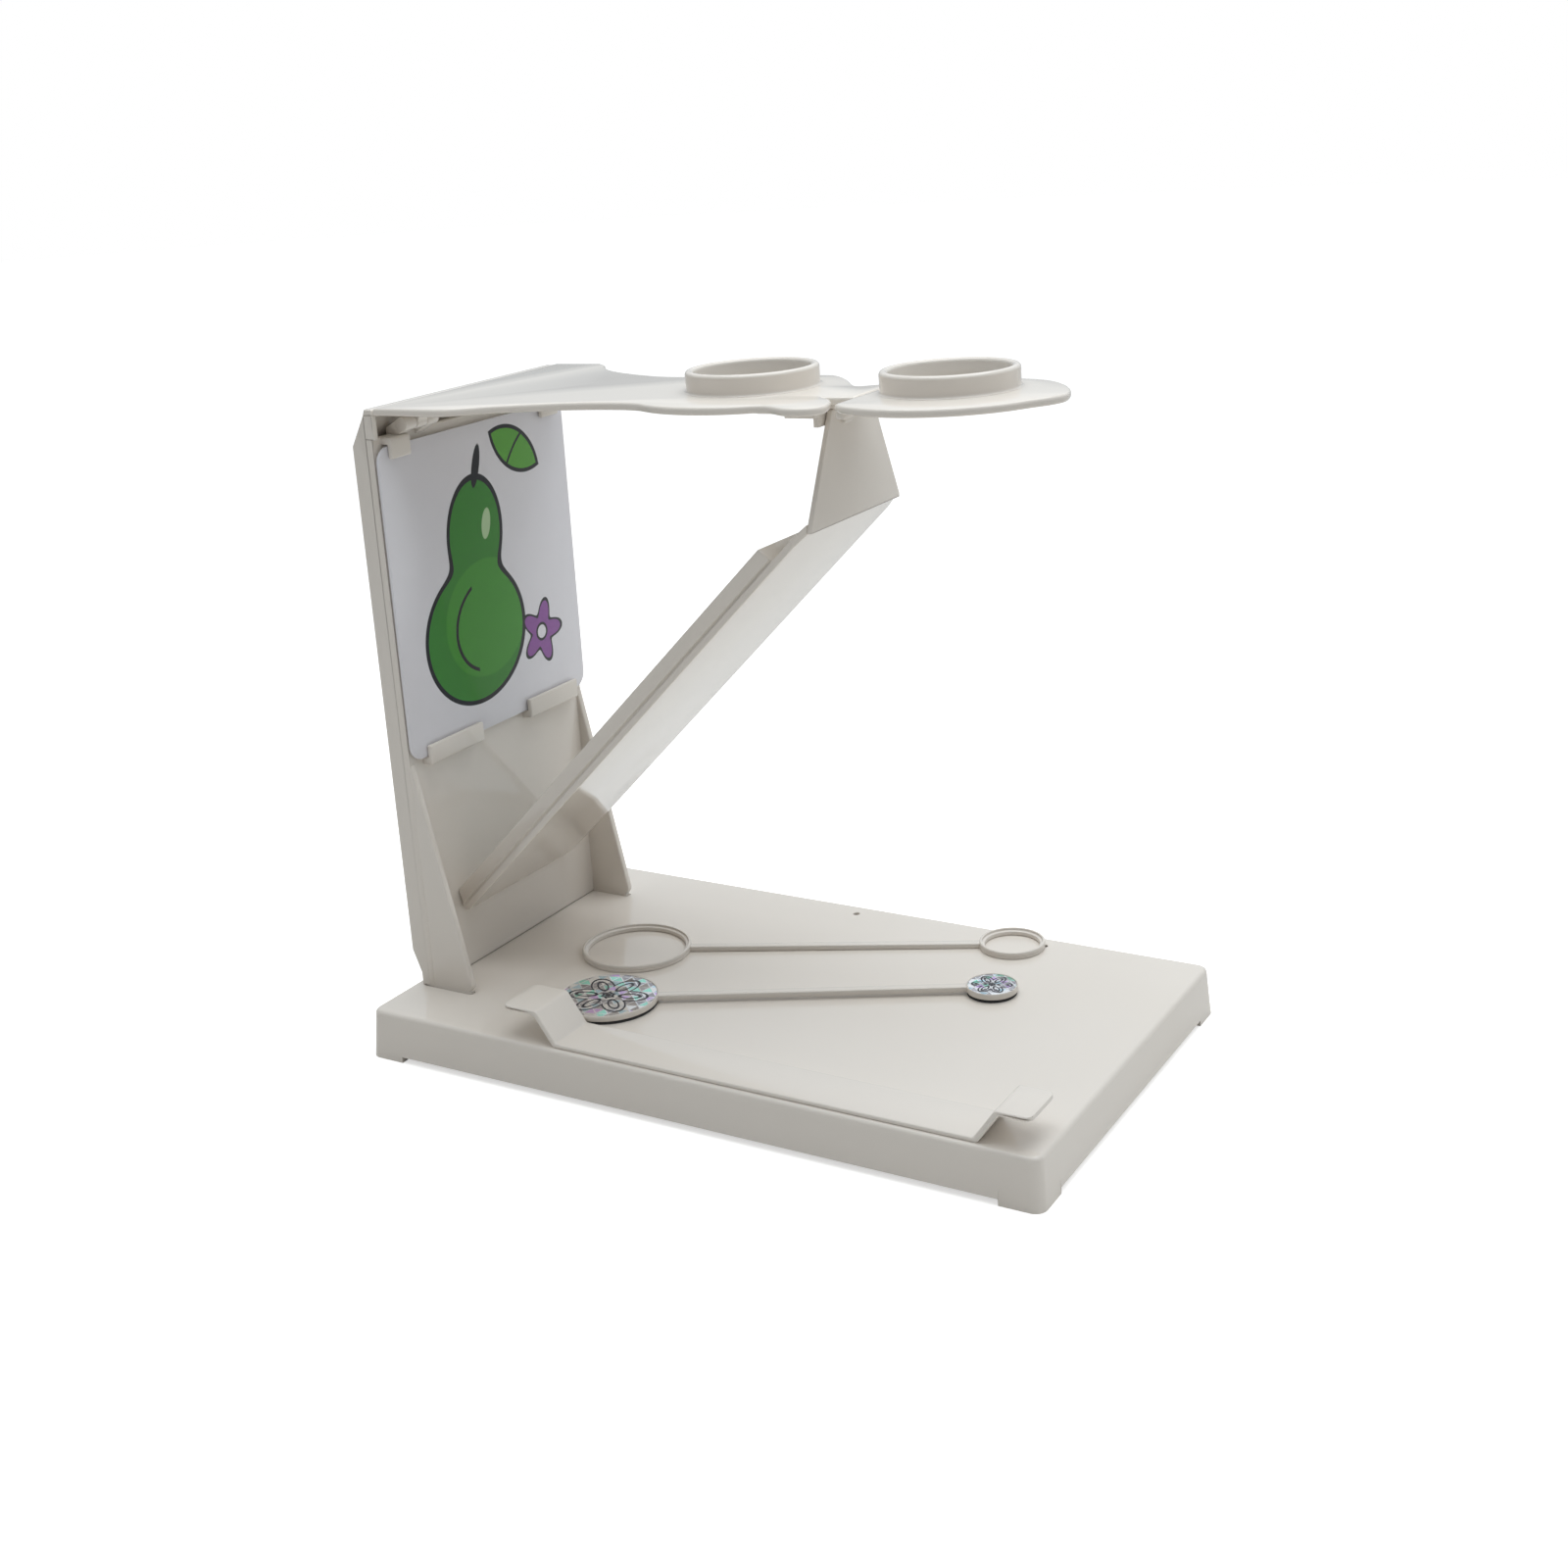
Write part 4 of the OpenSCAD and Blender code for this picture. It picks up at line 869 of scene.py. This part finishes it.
# %% Wands
# Each wand's place, turn in degrees, thicknesses, and the place and radius of its ends.
ring_at, ring_turn, ring_h, ring_w = (left_x + 53.5, 4.7), 24.8, 2.4, 1.8
disc_at, disc_turn, pad_t, disc_t, disc_rim = (left_x + 68.1, -33.4), 27.3, 1.0, 1.6, 0.4
ring_ends, ring_rod = ((0, 18.2), (125, 10.8)), (17.4, 115.1)
disc_ends, disc_rod = ((0, 16.0), (121, 8.2)), (15.5, 113.3)
rod_half, rod_t = 1.5, 1.8


def ring_profile(r):
    """A ring of outer radius r: a flat foot, a fine groove round its middle, a raised rim
    and a lower step inside."""
    top, step = ring_h, ring_h - 0.84
    return [(r - 1.5, 0), (r - 0.35, 0), (r - 0.08, 0.12), (r, 0.4), (r - 0.02, 0.9),
            (r - 0.16, 1.05), (r - 0.02, 1.2), (r, top - 0.6), (r - 0.1, top - 0.22),
            (r - 0.32, top - 0.04), (r - 0.6, top), (r - 0.8, top - 0.08), (r - 0.9, top - 0.3),
            (r - 0.92, top - 0.72), (r - 1.05, top - 0.8), (r - 1.5, step),
            (r - ring_w + 0.06, top - 1.0), (r - ring_w, 1.1), (r - ring_w + 0.02, 0.3)]


def disc_profile(r):
    """A disc of radius r with a thin raised rim round the foil's seat."""
    top = disc_t + disc_rim
    return [(0.01, 0), (r - 0.4, 0), (r - 0.1, 0.1), (r, 0.4), (r, top - 0.45),
            (r - 0.08, top - 0.15), (r - 0.22, top), (r - 0.38, top - 0.05),
            (r - 0.48, top - 0.2), (r - 0.5, disc_t), (0.01, disc_t)]


def laid(p, at, turn, along, z):
    """Points shifted along the wand, turned with it and put at its place on the base."""
    return moved(turned(moved(p, along), turn), at[0], at[1], base_h + z)


def wand(profile, ends, rod, at, turn, z):
    """A spun end at each place along the wand, and the rod between them."""
    solid = Solid()
    for along, r in ends:
        points, faces = spun(profile(r), 112)
        solid.add(laid(points, at, turn, along, z), faces)
    points, faces = plate(box_outline(rod[0], -rod_half, rod[1], rod_half, 0.3),
                          round_edge(0, rod_t, 0.35))
    return solid.add(laid(points, at, turn, 0, z), faces)


ring_wand = wand(ring_profile, ring_ends, ring_rod, ring_at, ring_turn, 0)
piece("ring_wand_moulding", ring_wand, "ring_pointer", "ivory_plastic", "ring_wand")
disc_wand = wand(disc_profile, disc_ends, disc_rod, disc_at, disc_turn, pad_t)
piece("disc_wand_moulding", disc_wand, "disc_pointer", "ivory_plastic", "disc_wand")

# %% [markdown]
# The whole object is one warm white, glossy plastic. A moulded surface is never quite even:
# its gloss varies in soft patches where hands have touched it, it has a very fine orange
# peel from the mould, and here and there a hair scratch. These effects are used by other
# finishes as well, so they are one node group with named inputs, and each material mixes
# them in its own amounts.


# %% Node helpers
def calc(tree, op, *values):
    """A Math node. Each value is a socket or a number."""
    n = tree.nodes.new("ShaderNodeMath")
    n.operation = op
    for i, v in enumerate(values):
        if isinstance(v, (int, float)):
            n.inputs[i].default_value = v
        else:
            tree.links.new(v, n.inputs[i])
    return n.outputs[0]


def ranged(tree, value, a, b, low=0.0, high=1.0):
    """Maps a..b smoothly to low..high."""
    n = tree.nodes.new("ShaderNodeMapRange")
    n.interpolation_type = "SMOOTHSTEP"
    for i, v in zip((1, 2, 3, 4), (a, b, low, high)):
        n.inputs[i].default_value = v
    tree.links.new(value, n.inputs[0])
    return n.outputs[0]


def speckle(tree, at, scale, detail=3.0, stretch=None):
    """Noise on the given coordinates, about scale spots to the metre."""
    if stretch:
        m = tree.nodes.new("ShaderNodeMapping")
        m.inputs["Scale"].default_value = stretch
        tree.links.new(at, m.inputs["Vector"])
        at = m.outputs[0]
    n = tree.nodes.new("ShaderNodeTexNoise")
    n.inputs["Scale"].default_value = scale
    n.inputs["Detail"].default_value = detail
    tree.links.new(at, n.inputs["Vector"])
    return n.outputs["Fac"]


def tinted(tree, mask, a, b):
    """Mixes two colours, each a socket or three numbers, by a mask."""
    n = tree.nodes.new("ShaderNodeMix")
    n.data_type = "RGBA"
    tree.links.new(mask, n.inputs[0])
    for i, v in ((6, a), (7, b)):
        if isinstance(v, tuple):
            n.inputs[i].default_value = (*v, 1)
        else:
            tree.links.new(v, n.inputs[i])
    return n.outputs[2]


def finish_named(name):
    """A new material with its node tree, its shader and object coordinates."""
    m = bpy.data.materials.new(name)
    m.use_nodes = True
    tree = m.node_tree
    shader = tree.nodes["Principled BSDF"]
    at = tree.nodes.new("ShaderNodeTexCoord").outputs["Object"]
    return m, tree, shader, at


def bumped(tree, shader, height, depth, strength=1.0):
    """Bumps the surface by a height mask, over a depth in metres."""
    n = tree.nodes.new("ShaderNodeBump")
    n.inputs["Distance"].default_value = depth
    n.inputs["Strength"].default_value = strength
    tree.links.new(height, n.inputs["Height"])
    tree.links.new(n.outputs[0], shader.inputs["Normal"])


def surface_group():
    """Masks shared by several finishes. Patches are large soft spots, Grain is the fine
    skin of a mould, and Scratches are thin lines where two stretched noises cross 0.5."""
    g = bpy.data.node_groups.new("touched_surface", "ShaderNodeTree")
    g.interface.new_socket("Vector", in_out="INPUT", socket_type="NodeSocketVector")
    for name in ("Patches", "Grain", "Scratches"):
        g.interface.new_socket(name, in_out="OUTPUT", socket_type="NodeSocketFloat")
    source, sink = g.nodes.new("NodeGroupInput"), g.nodes.new("NodeGroupOutput")
    at = source.outputs["Vector"]
    g.links.new(ranged(g, speckle(g, at, 28, 4), 0.35, 0.7), sink.inputs["Patches"])
    g.links.new(speckle(g, at, 1500, 2), sink.inputs["Grain"])
    lines = []
    for stretch in ((1, 14, 3), (12, 1, 2)):
        n = speckle(g, at, 45, 2, stretch)
        lines.append(ranged(g, calc(g, "ABSOLUTE", calc(g, "SUBTRACT", n, 0.5)), 0.0015, 0.0))
    gate = ranged(g, speckle(g, at, 35, 1), 0.6, 0.72)
    g.links.new(calc(g, "MULTIPLY", calc(g, "MAXIMUM", *lines), gate), sink.inputs["Scratches"])
    return g


touched = surface_group()


def touched_masks(tree, at):
    """The shared masks, placed in one material."""
    n = tree.nodes.new("ShaderNodeGroup")
    n.node_tree = touched
    tree.links.new(at, n.inputs["Vector"])
    return n.outputs["Patches"], n.outputs["Grain"], n.outputs["Scratches"]


print("shared masks:", [s.name for s in touched.interface.items_tree])


# %% Ivory plastic
ivory_low, ivory_high = (0.765, 0.705, 0.632), (0.785, 0.728, 0.66)
scratch_white = (0.86, 0.85, 0.83)


def ivory_plastic():
    """Warm white with a slow drift of tone, glossier in some patches than in others."""
    m, tree, shader, at = finish_named("ivory_plastic")
    patches, grain, scratches = touched_masks(tree, at)
    warm = ranged(tree, speckle(tree, at, 9, 2), 0.3, 0.7)
    colour = tinted(tree, warm, ivory_low, ivory_high)
    colour = tinted(tree, calc(tree, "MULTIPLY", scratches, 0.06), colour, scratch_white)
    tree.links.new(colour, shader.inputs["Base Color"])
    rough = calc(tree, "ADD", ranged(tree, patches, 0, 1, 0.04, 0.07),
                 calc(tree, "MULTIPLY", scratches, 0.05))
    tree.links.new(rough, shader.inputs["Roughness"])
    height = calc(tree, "SUBTRACT", grain, calc(tree, "MULTIPLY", scratches, 0.15))
    bumped(tree, shader, height, 0.000004, 0.4)
    return m


ivory = ivory_plastic()
print("nodes in the plastic:", len(ivory.node_tree.nodes))

# %% [markdown]
# The card is laminated print: a bluish white sheet with flat colours and bold black
# outlines. The drawing is worked out in the material, because that stays sharp at any size.
# Each shape is a distance from an ellipse in millimetres, shapes are joined by the smaller
# distance, a fill is where the distance is negative and an outline is where it is near
# zero. The drawing is a pear with a leaf and a blossom, made up for this card.


# %% Drawing in a material
def products(tree, a, b, c, d):
    """a b + c d"""
    return calc(tree, "ADD", calc(tree, "MULTIPLY", a, b), calc(tree, "MULTIPLY", c, d))


def reach_of(tree, x, y):
    """sqrt(x^2 + y^2)"""
    return calc(tree, "SQRT", products(tree, x, x, y, y))


class Drawing:
    """Shapes on one plane of a material, in millimetres from the middle of the sheet."""

    def __init__(self, tree, x, y):
        self.tree, self.x, self.y = tree, x, y

    def from_point(self, cx, cy):
        """x and y, measured from a point."""
        return calc(self.tree, "SUBTRACT", self.x, cx), calc(self.tree, "SUBTRACT", self.y, cy)

    def ellipse(self, cx, cy, rx, ry, turn=0.0):
        """(length of (u / rx, v / ry) - 1) times the smaller radius."""
        t, c, s = self.tree, math.cos(math.radians(turn)), math.sin(math.radians(turn))
        dx, dy = self.from_point(cx, cy)
        u = products(t, dx, c / rx, dy, s / rx)
        v = products(t, dx, -s / ry, dy, c / ry)
        return calc(t, "MULTIPLY", calc(t, "SUBTRACT", reach_of(t, u, v), 1.0), min(rx, ry))

    def blossom(self, cx, cy, r, lobes, depth):
        """Distance from the centre less r + depth cos(lobes times the angle)."""
        t = self.tree
        dx, dy = self.from_point(cx, cy)
        size = reach_of(t, dx, dy)
        wave = calc(t, "COSINE", calc(t, "MULTIPLY", calc(t, "ARCTAN2", dy, dx), float(lobes)))
        return calc(t, "SUBTRACT", size, calc(t, "ADD", calc(t, "MULTIPLY", wave, depth), r))

    def folded(self, parts):
        """The plane folded like a fan into equal sectors round its middle, so that a shape
        drawn along +X shows once in each sector."""
        t, sector = self.tree, 2 * math.pi / parts
        size = reach_of(t, self.x, self.y)
        round_it = calc(t, "ARCTAN2", self.y, self.x)
        fold = calc(t, "FRACT", calc(t, "MULTIPLY", round_it, 1 / sector))
        a = calc(t, "MULTIPLY", calc(t, "SUBTRACT", fold, 0.5), sector)
        return Drawing(t, calc(t, "MULTIPLY", size, calc(t, "COSINE", a)),
                       calc(t, "MULTIPLY", size, calc(t, "SINE", a)))

    def inside(self, d, soft=0.12):
        """1 where a distance is below zero, with a soft step."""
        return ranged(self.tree, d, soft, -soft)

    def line(self, d, width):
        """1 within half the width of the place where a distance is zero."""
        return self.inside(calc(self.tree, "SUBTRACT", calc(self.tree, "ABSOLUTE", d), width / 2))


print("what a drawing can hold:", [name for name in vars(Drawing) if name[0] != "_"])


# %% Card print
black, violet = (0.008, 0.009, 0.012), (0.27, 0.09, 0.33)
green, deep_green = (0.06, 0.29, 0.03), (0.04, 0.23, 0.025)
leaf_green, gleam_green = (0.10, 0.36, 0.035), (0.45, 0.62, 0.35)
sheet_low, sheet_high = (0.765, 0.745, 0.77), (0.785, 0.765, 0.79)


def printed_card():
    """Paints the shapes over the sheet one after another, each fill before its outline."""
    m, tree, shader, at = finish_named("printed_card")
    parts = tree.nodes.new("ShaderNodeSeparateXYZ")
    place = tree.nodes.new("ShaderNodeMapping")
    place.vector_type = "POINT"
    place.inputs["Location"].default_value = (0, 0, -(card_foot + card_top) / 2)
    place.inputs["Scale"].default_value = (1 / MM, 1 / MM, 1 / MM)
    tree.links.new(at, place.inputs["Vector"])
    tree.links.new(place.outputs[0], parts.inputs[0])
    d = Drawing(tree, parts.outputs["Y"], parts.outputs["Z"])
    patches, grain, _ = touched_masks(tree, at)
    pear = calc(tree, "SMOOTH_MIN", d.ellipse(-9, -17, 25, 22.5),
                d.ellipse(-5, 15, 13.5, 18, -8), 9.0)
    leaf = calc(tree, "MAXIMUM", d.ellipse(13, 28, 18, 18), d.ellipse(25, 48, 18, 18))
    vein = d.ellipse(44, 13, 36, 36)
    stem = d.ellipse(-1.5, 36, 1.9, 7, -18)
    petals, heart = d.blossom(25, -25, 8.4, 5, 2.6), d.ellipse(25, -25, 2.7, 2.7)
    shade = calc(tree, "MAXIMUM", pear,
                 calc(tree, "MULTIPLY", d.ellipse(-3, -13, 21, 19, 10), -1.0))
    curl = calc(tree, "MAXIMUM", calc(tree, "ABSOLUTE", d.ellipse(-2, -15, 17, 15, 15)),
                calc(tree, "SUBTRACT", d.x, -10.0))
    gleam = d.ellipse(1, 17, 2.2, 5, -14)
    colour = tinted(tree, patches, sheet_low, sheet_high)
    for mask, paint in (
            (d.inside(pear), green),
            (d.inside(shade, 0.5), deep_green),
            (d.inside(gleam), gleam_green),
            (d.line(curl, 1.1), black),
            (d.line(pear, 1.5), black),
            (d.inside(leaf), leaf_green),
            (calc(tree, "MULTIPLY", d.inside(leaf), d.line(vein, 0.9)), black),
            (d.line(leaf, 1.3), black),
            (d.inside(stem), black),
            (d.inside(petals), violet),
            (d.line(petals, 1.2), black),
            (d.inside(heart), sheet_high),
            (d.line(heart, 0.9), black)):
        colour = tinted(tree, mask, colour, paint)
    tree.links.new(colour, shader.inputs["Base Color"])
    tree.links.new(ranged(tree, patches, 0, 1, 0.16, 0.22), shader.inputs["Roughness"])
    shader.inputs["Specular IOR Level"].default_value = 0.35
    bumped(tree, shader, grain, 0.000008, 0.4)
    return m


card_print = printed_card()
print("nodes in the card's print:", len(card_print.node_tree.nodes))

# %% [markdown]
# The discs carry a prismatic sticker: a silver foil cut into small triangles, each tilted
# its own way, with a thin black rosette printed on it. Each triangle's pale colour is
# painted reflection, a fixed tint in place of the foil's sheen that changes with the angle
# of view, and a painted highlight runs along the triangles' edges. Three sets of parallel
# lines 60 degrees apart cut a plane into triangles. The number of the stripe in each set
# names the triangle, and a random value of those three numbers picks its painted tint and
# its tilt.


# %% Prismatic foil
foil_r, small_foil_r, foil_turn = 15.3, 7.5, 0.35
# The foil is silver: these tints are painted reflection, fixed colours in place of its sheen, which
# changes with the angle of view.
painted_prism_tints = [(0.0, (0.42, 0.92, 0.76)), (0.16, (0.40, 0.39, 0.42)), (0.34, (0.74, 0.54, 0.92)),
               (0.45, (0.58, 0.80, 0.92)), (0.57, (0.98, 0.99, 1.0)), (0.80, (0.56, 0.55, 0.58))]
# The glint colour is a painted highlight, laid along the edges of the triangles.
painted_glint, foil_ink = (0.97, 0.98, 1.0), (0.015, 0.015, 0.02)


def prism_foil(name, along, radius, cell):
    """The stripe number in a set is the whole part of (x cos a + y sin a) / cell, and the
    rest is the ramp across the stripe, by which the triangle's tilt grows."""
    m, tree, shader, at = finish_named(name)
    turn = math.radians(disc_turn)
    mx = disc_at[0] + along * math.cos(turn)
    my = disc_at[1] + along * math.sin(turn)
    place = tree.nodes.new("ShaderNodeMapping")
    place.vector_type = "TEXTURE"
    place.inputs["Location"].default_value = (mx * MM, my * MM, 0)
    place.inputs["Rotation"].default_value = (0, 0, turn + foil_turn)
    place.inputs["Scale"].default_value = (MM, MM, MM)
    tree.links.new(at, place.inputs["Vector"])
    parts = tree.nodes.new("ShaderNodeSeparateXYZ")
    tree.links.new(place.outputs[0], parts.inputs[0])
    d = Drawing(tree, parts.outputs["X"], parts.outputs["Y"])
    names, ramps = [], []
    for angle in (0, 60, 120):
        c, s = math.cos(math.radians(angle)), math.sin(math.radians(angle))
        q = calc(tree, "MULTIPLY", products(tree, d.x, c, d.y, s), 1 / cell)
        names.append(calc(tree, "FLOOR", q))
        ramps.append(calc(tree, "FRACT", q))
    key = tree.nodes.new("ShaderNodeCombineXYZ")
    for i, n in enumerate(names):
        tree.links.new(n, key.inputs[i])
    luck = tree.nodes.new("ShaderNodeTexWhiteNoise")
    tree.links.new(key.outputs[0], luck.inputs["Vector"])
    # Painted reflection: each triangle gets one fixed tint from this ramp.
    painted_tint_ramp = tree.nodes.new("ShaderNodeValToRGB")
    painted_tint_ramp.color_ramp.interpolation = "CONSTANT"
    for i, (pos, colour) in enumerate(painted_prism_tints):
        e = painted_tint_ramp.color_ramp.elements[i] if i < 2 else painted_tint_ramp.color_ramp.elements.new(pos)
        e.position, e.color = pos, (*colour, 1)
    tree.links.new(luck.outputs["Value"], painted_tint_ramp.inputs[0])
    split = tree.nodes.new("ShaderNodeSeparateColor")
    tree.links.new(luck.outputs["Color"], split.inputs[0])
    tilt = products(tree, ramps[0], calc(tree, "SUBTRACT", split.outputs[0], 0.5),
                    ramps[1], calc(tree, "SUBTRACT", split.outputs[1], 0.5))
    edges = calc(tree, "MINIMUM", calc(tree, "MINIMUM", ramps[0], ramps[1]), ramps[2])
    fan = d.folded(6)
    ink = d.inside(d.ellipse(0, 0, 0.07 * radius, 0.07 * radius))
    for long, wide_share in ((0.37, 0.23), (0.22, 0.1)):
        petal = fan.ellipse(0.47 * radius, 0, long * radius, wide_share * radius)
        ink = calc(tree, "MAXIMUM", ink, fan.line(petal, 0.34 + 0.016 * radius))
    # Painted highlight: a white glint along the edges of each triangle.
    colour = tinted(tree, ranged(tree, edges, 0.16, 0.05, 0, 0.9), painted_tint_ramp.outputs[0], painted_glint)
    colour = tinted(tree, ink, colour, foil_ink)
    tree.links.new(colour, shader.inputs["Base Color"])
    tree.links.new(ranged(tree, ink, 0, 1, 0.85, 0.0), shader.inputs["Metallic"])
    tree.links.new(ranged(tree, ink, 0, 1, 0.22, 0.4), shader.inputs["Roughness"])
    bumped(tree, shader, tilt, 0.001, 1.0)
    return m


foil_large = prism_foil("prism_foil_large", 0, foil_r, 3.4)
foil_small = prism_foil("prism_foil_small", disc_ends[1][0], small_foil_r, 3.0)
print("tints of the foil:", len(painted_prism_tints))

# %% [markdown]
# The other finishes are small. The lenses are clear glass, the mirror is a silvered sheet
# with faint smears, the screws, pins and rod are zinc-plated steel drawn along their
# length, and the discs stand on black foam pads. Their gloss comes from the shared masks
# again, in other amounts, and steel and foam have a fine noise of their own.


# %% Small finishes
glass_ior, glass_tint = 1.52, (0.97, 0.985, 0.98, 1)
silver_clear, silver_smeared = (0.86, 0.875, 0.87), (0.82, 0.835, 0.83)
steel_dark, steel_light = (0.52, 0.52, 0.53), (0.68, 0.68, 0.67)
foam_dark, foam_light = (0.018, 0.018, 0.019), (0.05, 0.05, 0.052)


def lens_glass():
    """Clear glass, with a little less gloss where it has been touched."""
    m, tree, shader, at = finish_named("lens_glass")
    patches, _, _ = touched_masks(tree, at)
    shader.inputs["Base Color"].default_value = glass_tint
    shader.inputs["Transmission Weight"].default_value = 1
    shader.inputs["IOR"].default_value = glass_ior
    tree.links.new(ranged(tree, patches, 0, 1, 0.0, 0.03), shader.inputs["Roughness"])
    return m


def mirror_face():
    """A full metal, whose smears are a little darker and less sharp."""
    m, tree, shader, at = finish_named("mirror_face")
    patches, _, scratches = touched_masks(tree, at)
    shader.inputs["Metallic"].default_value = 1
    colour = tinted(tree, patches, silver_clear, silver_smeared)
    tree.links.new(colour, shader.inputs["Base Color"])
    tree.links.new(calc(tree, "ADD", ranged(tree, patches, 0, 1, 0.015, 0.07),
                        calc(tree, "MULTIPLY", scratches, 0.15)), shader.inputs["Roughness"])
    return m


def plated_steel():
    """A full metal with a noise drawn out along Y, the length of pins and rod."""
    m, tree, shader, at = finish_named("plated_steel")
    patches, _, scratches = touched_masks(tree, at)
    shader.inputs["Metallic"].default_value = 1
    drawn = speckle(tree, at, 300, 2, (9, 1, 9))
    tree.links.new(tinted(tree, drawn, steel_dark, steel_light), shader.inputs["Base Color"])
    tree.links.new(calc(tree, "ADD", ranged(tree, patches, 0, 1, 0.24, 0.4),
                        calc(tree, "MULTIPLY", scratches, 0.1)), shader.inputs["Roughness"])
    bumped(tree, shader, drawn, 0.00001, 0.6)
    return m


def black_pad():
    """Dull foam, with fine cells that tint it and bump it."""
    m, tree, shader, at = finish_named("black_pad")
    _, grain, _ = touched_masks(tree, at)
    cells = speckle(tree, at, 2600, 2)
    tree.links.new(tinted(tree, cells, foam_dark, foam_light), shader.inputs["Base Color"])
    tree.links.new(ranged(tree, grain, 0.3, 0.7, 0.75, 0.95), shader.inputs["Roughness"])
    bumped(tree, shader, cells, 0.0001, 0.8)
    return m


glass, silvered, steel, foam = lens_glass(), mirror_face(), plated_steel(), black_pad()
by_slot = {"ivory_plastic": ivory, "printed_card": card_print, "lens_glass": glass,
           "mirror_face": silvered, "steel_hardware": steel, "black_pad": foam,
           "prism_foil": foil_large}
slots = {p["node"]: p["material_slot"] for p in frame["record"]["subparts"]}
for name, obj in frame["nodes"].items():
    obj.data.materials.clear()
    obj.data.materials.append(foil_small if name == "small_disc_foil" else by_slot[slots[name]])
pieces = [o for o in bpy.data.objects if o.type == "MESH" and "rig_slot" in o]
for obj in pieces:
    obj.data.materials.append(by_slot[obj["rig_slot"]])
print("pieces:", len(pieces), "materials:", len(bpy.data.materials))

# %% [markdown]
# The stage is a pale floor under soft light. The object was photographed on white, under a
# large soft light from above and a little behind, so its tops are bright and its near side
# is darker. The world gives that slope of light, one square lamp overhead adds to it, and
# the floor shows white to the camera and in reflections while it keeps a soft shadow.


# %% Floor
floor_r, floor_n, floor_colour = 4.0, 96, (0.80, 0.78, 0.75, 1)


def whitened(tree, for_camera, for_shine):
    """Light added for camera and transmission rays, and for glossy rays."""
    path = tree.nodes.new("ShaderNodeLightPath")
    seen = calc(tree, "MAXIMUM", path.outputs["Is Camera Ray"], path.outputs["Is Transmission Ray"])
    return calc(tree, "MAXIMUM", calc(tree, "MULTIPLY", seen, for_camera),
                calc(tree, "MULTIPLY", path.outputs["Is Glossy Ray"], for_shine))


floor_mesh = bpy.data.meshes.new("floor")
floor_ring = np.column_stack([circle((0, 0), floor_r, floor_n), np.zeros(floor_n)])
floor_mesh.from_pydata(floor_ring, [], [tuple(range(floor_n))])
floor = bpy.data.objects.new("floor", floor_mesh)
bpy.context.scene.collection.objects.link(floor)
paper = bpy.data.materials.new("white_floor")
paper.use_nodes = True
tree = paper.node_tree
shader = tree.nodes["Principled BSDF"]
shader.inputs["Base Color"].default_value = floor_colour
shader.inputs["Roughness"].default_value = 0.9
shader.inputs["Specular IOR Level"].default_value = 0.0
shader.inputs["Emission Color"].default_value = (1, 1, 1, 1)
tree.links.new(whitened(tree, 0.58, 0.06), shader.inputs["Emission Strength"])
floor_mesh.materials.append(paper)
print("floor radius in metres:", floor_r)

# %% Light
sky_up, sky_dim, sky_bright = (0.0, 0.42, 0.90), 0.13, 0.88
sky_tint, lamp_tint = (0.905, 0.955, 1.0), (0.93, 0.97, 1.0)
lamp_size, lamp_power, lamp_at, lamp_aim = 0.7, 3.6, (0.05, 0.04, 0.8), (0, 0, 0.08)
world = bpy.data.worlds.new("studio")
bpy.context.scene.world = world
world.use_nodes = True
tree = world.node_tree
sky = tree.nodes["Background"]
facing = tree.nodes.new("ShaderNodeVectorMath")
facing.operation = "DOT_PRODUCT"
facing.inputs[1].default_value = Vector(sky_up).normalized()
tree.links.new(tree.nodes.new("ShaderNodeTexCoord").outputs["Generated"], facing.inputs[0])
slope = ranged(tree, facing.outputs["Value"], -0.15, 0.95, sky_dim, sky_bright)
seen = tree.nodes.new("ShaderNodeLightPath").outputs["Is Camera Ray"]
shown = calc(tree, "ADD", calc(tree, "MULTIPLY", slope, calc(tree, "SUBTRACT", 1.0, seen)), seen)
tree.links.new(shown, sky.inputs["Strength"])
tree.links.new(tinted(tree, seen, sky_tint, (1.0, 1.0, 1.0)), sky.inputs["Color"])

lamp_data = bpy.data.lights.new("softbox", "AREA")
lamp_data.shape, lamp_data.size, lamp_data.energy = "SQUARE", lamp_size, lamp_power
lamp_data.color = lamp_tint
lamp = bpy.data.objects.new("softbox", lamp_data)
lamp.location = lamp_at
lamp.rotation_euler = (Vector(lamp_aim) - lamp.location).to_track_quat("-Z", "Y").to_euler()
bpy.context.scene.collection.objects.link(lamp)
print("lamp at", lamp_at, "aimed at", lamp_aim)

# %% Camera
camera_at, camera_turn = (0.31097, -0.51651, 0.29350), (70.866, 2.945, 29.880)
focal_length = 47.556
camera_data = bpy.data.cameras.new("camera")
camera_data.sensor_fit, camera_data.sensor_width = "HORIZONTAL", 36
camera_data.lens = focal_length
camera_data.clip_start = 0.01
camera = bpy.data.objects.new("camera", camera_data)
camera.location = camera_at
camera.rotation_euler = tuple(math.radians(a) for a in camera_turn)
bpy.context.scene.collection.objects.link(camera)
bpy.context.scene.camera = camera
bpy.context.scene.view_settings.view_transform = "Standard"
print("camera at", [round(v, 4) for v in camera.location])

# %% [markdown]
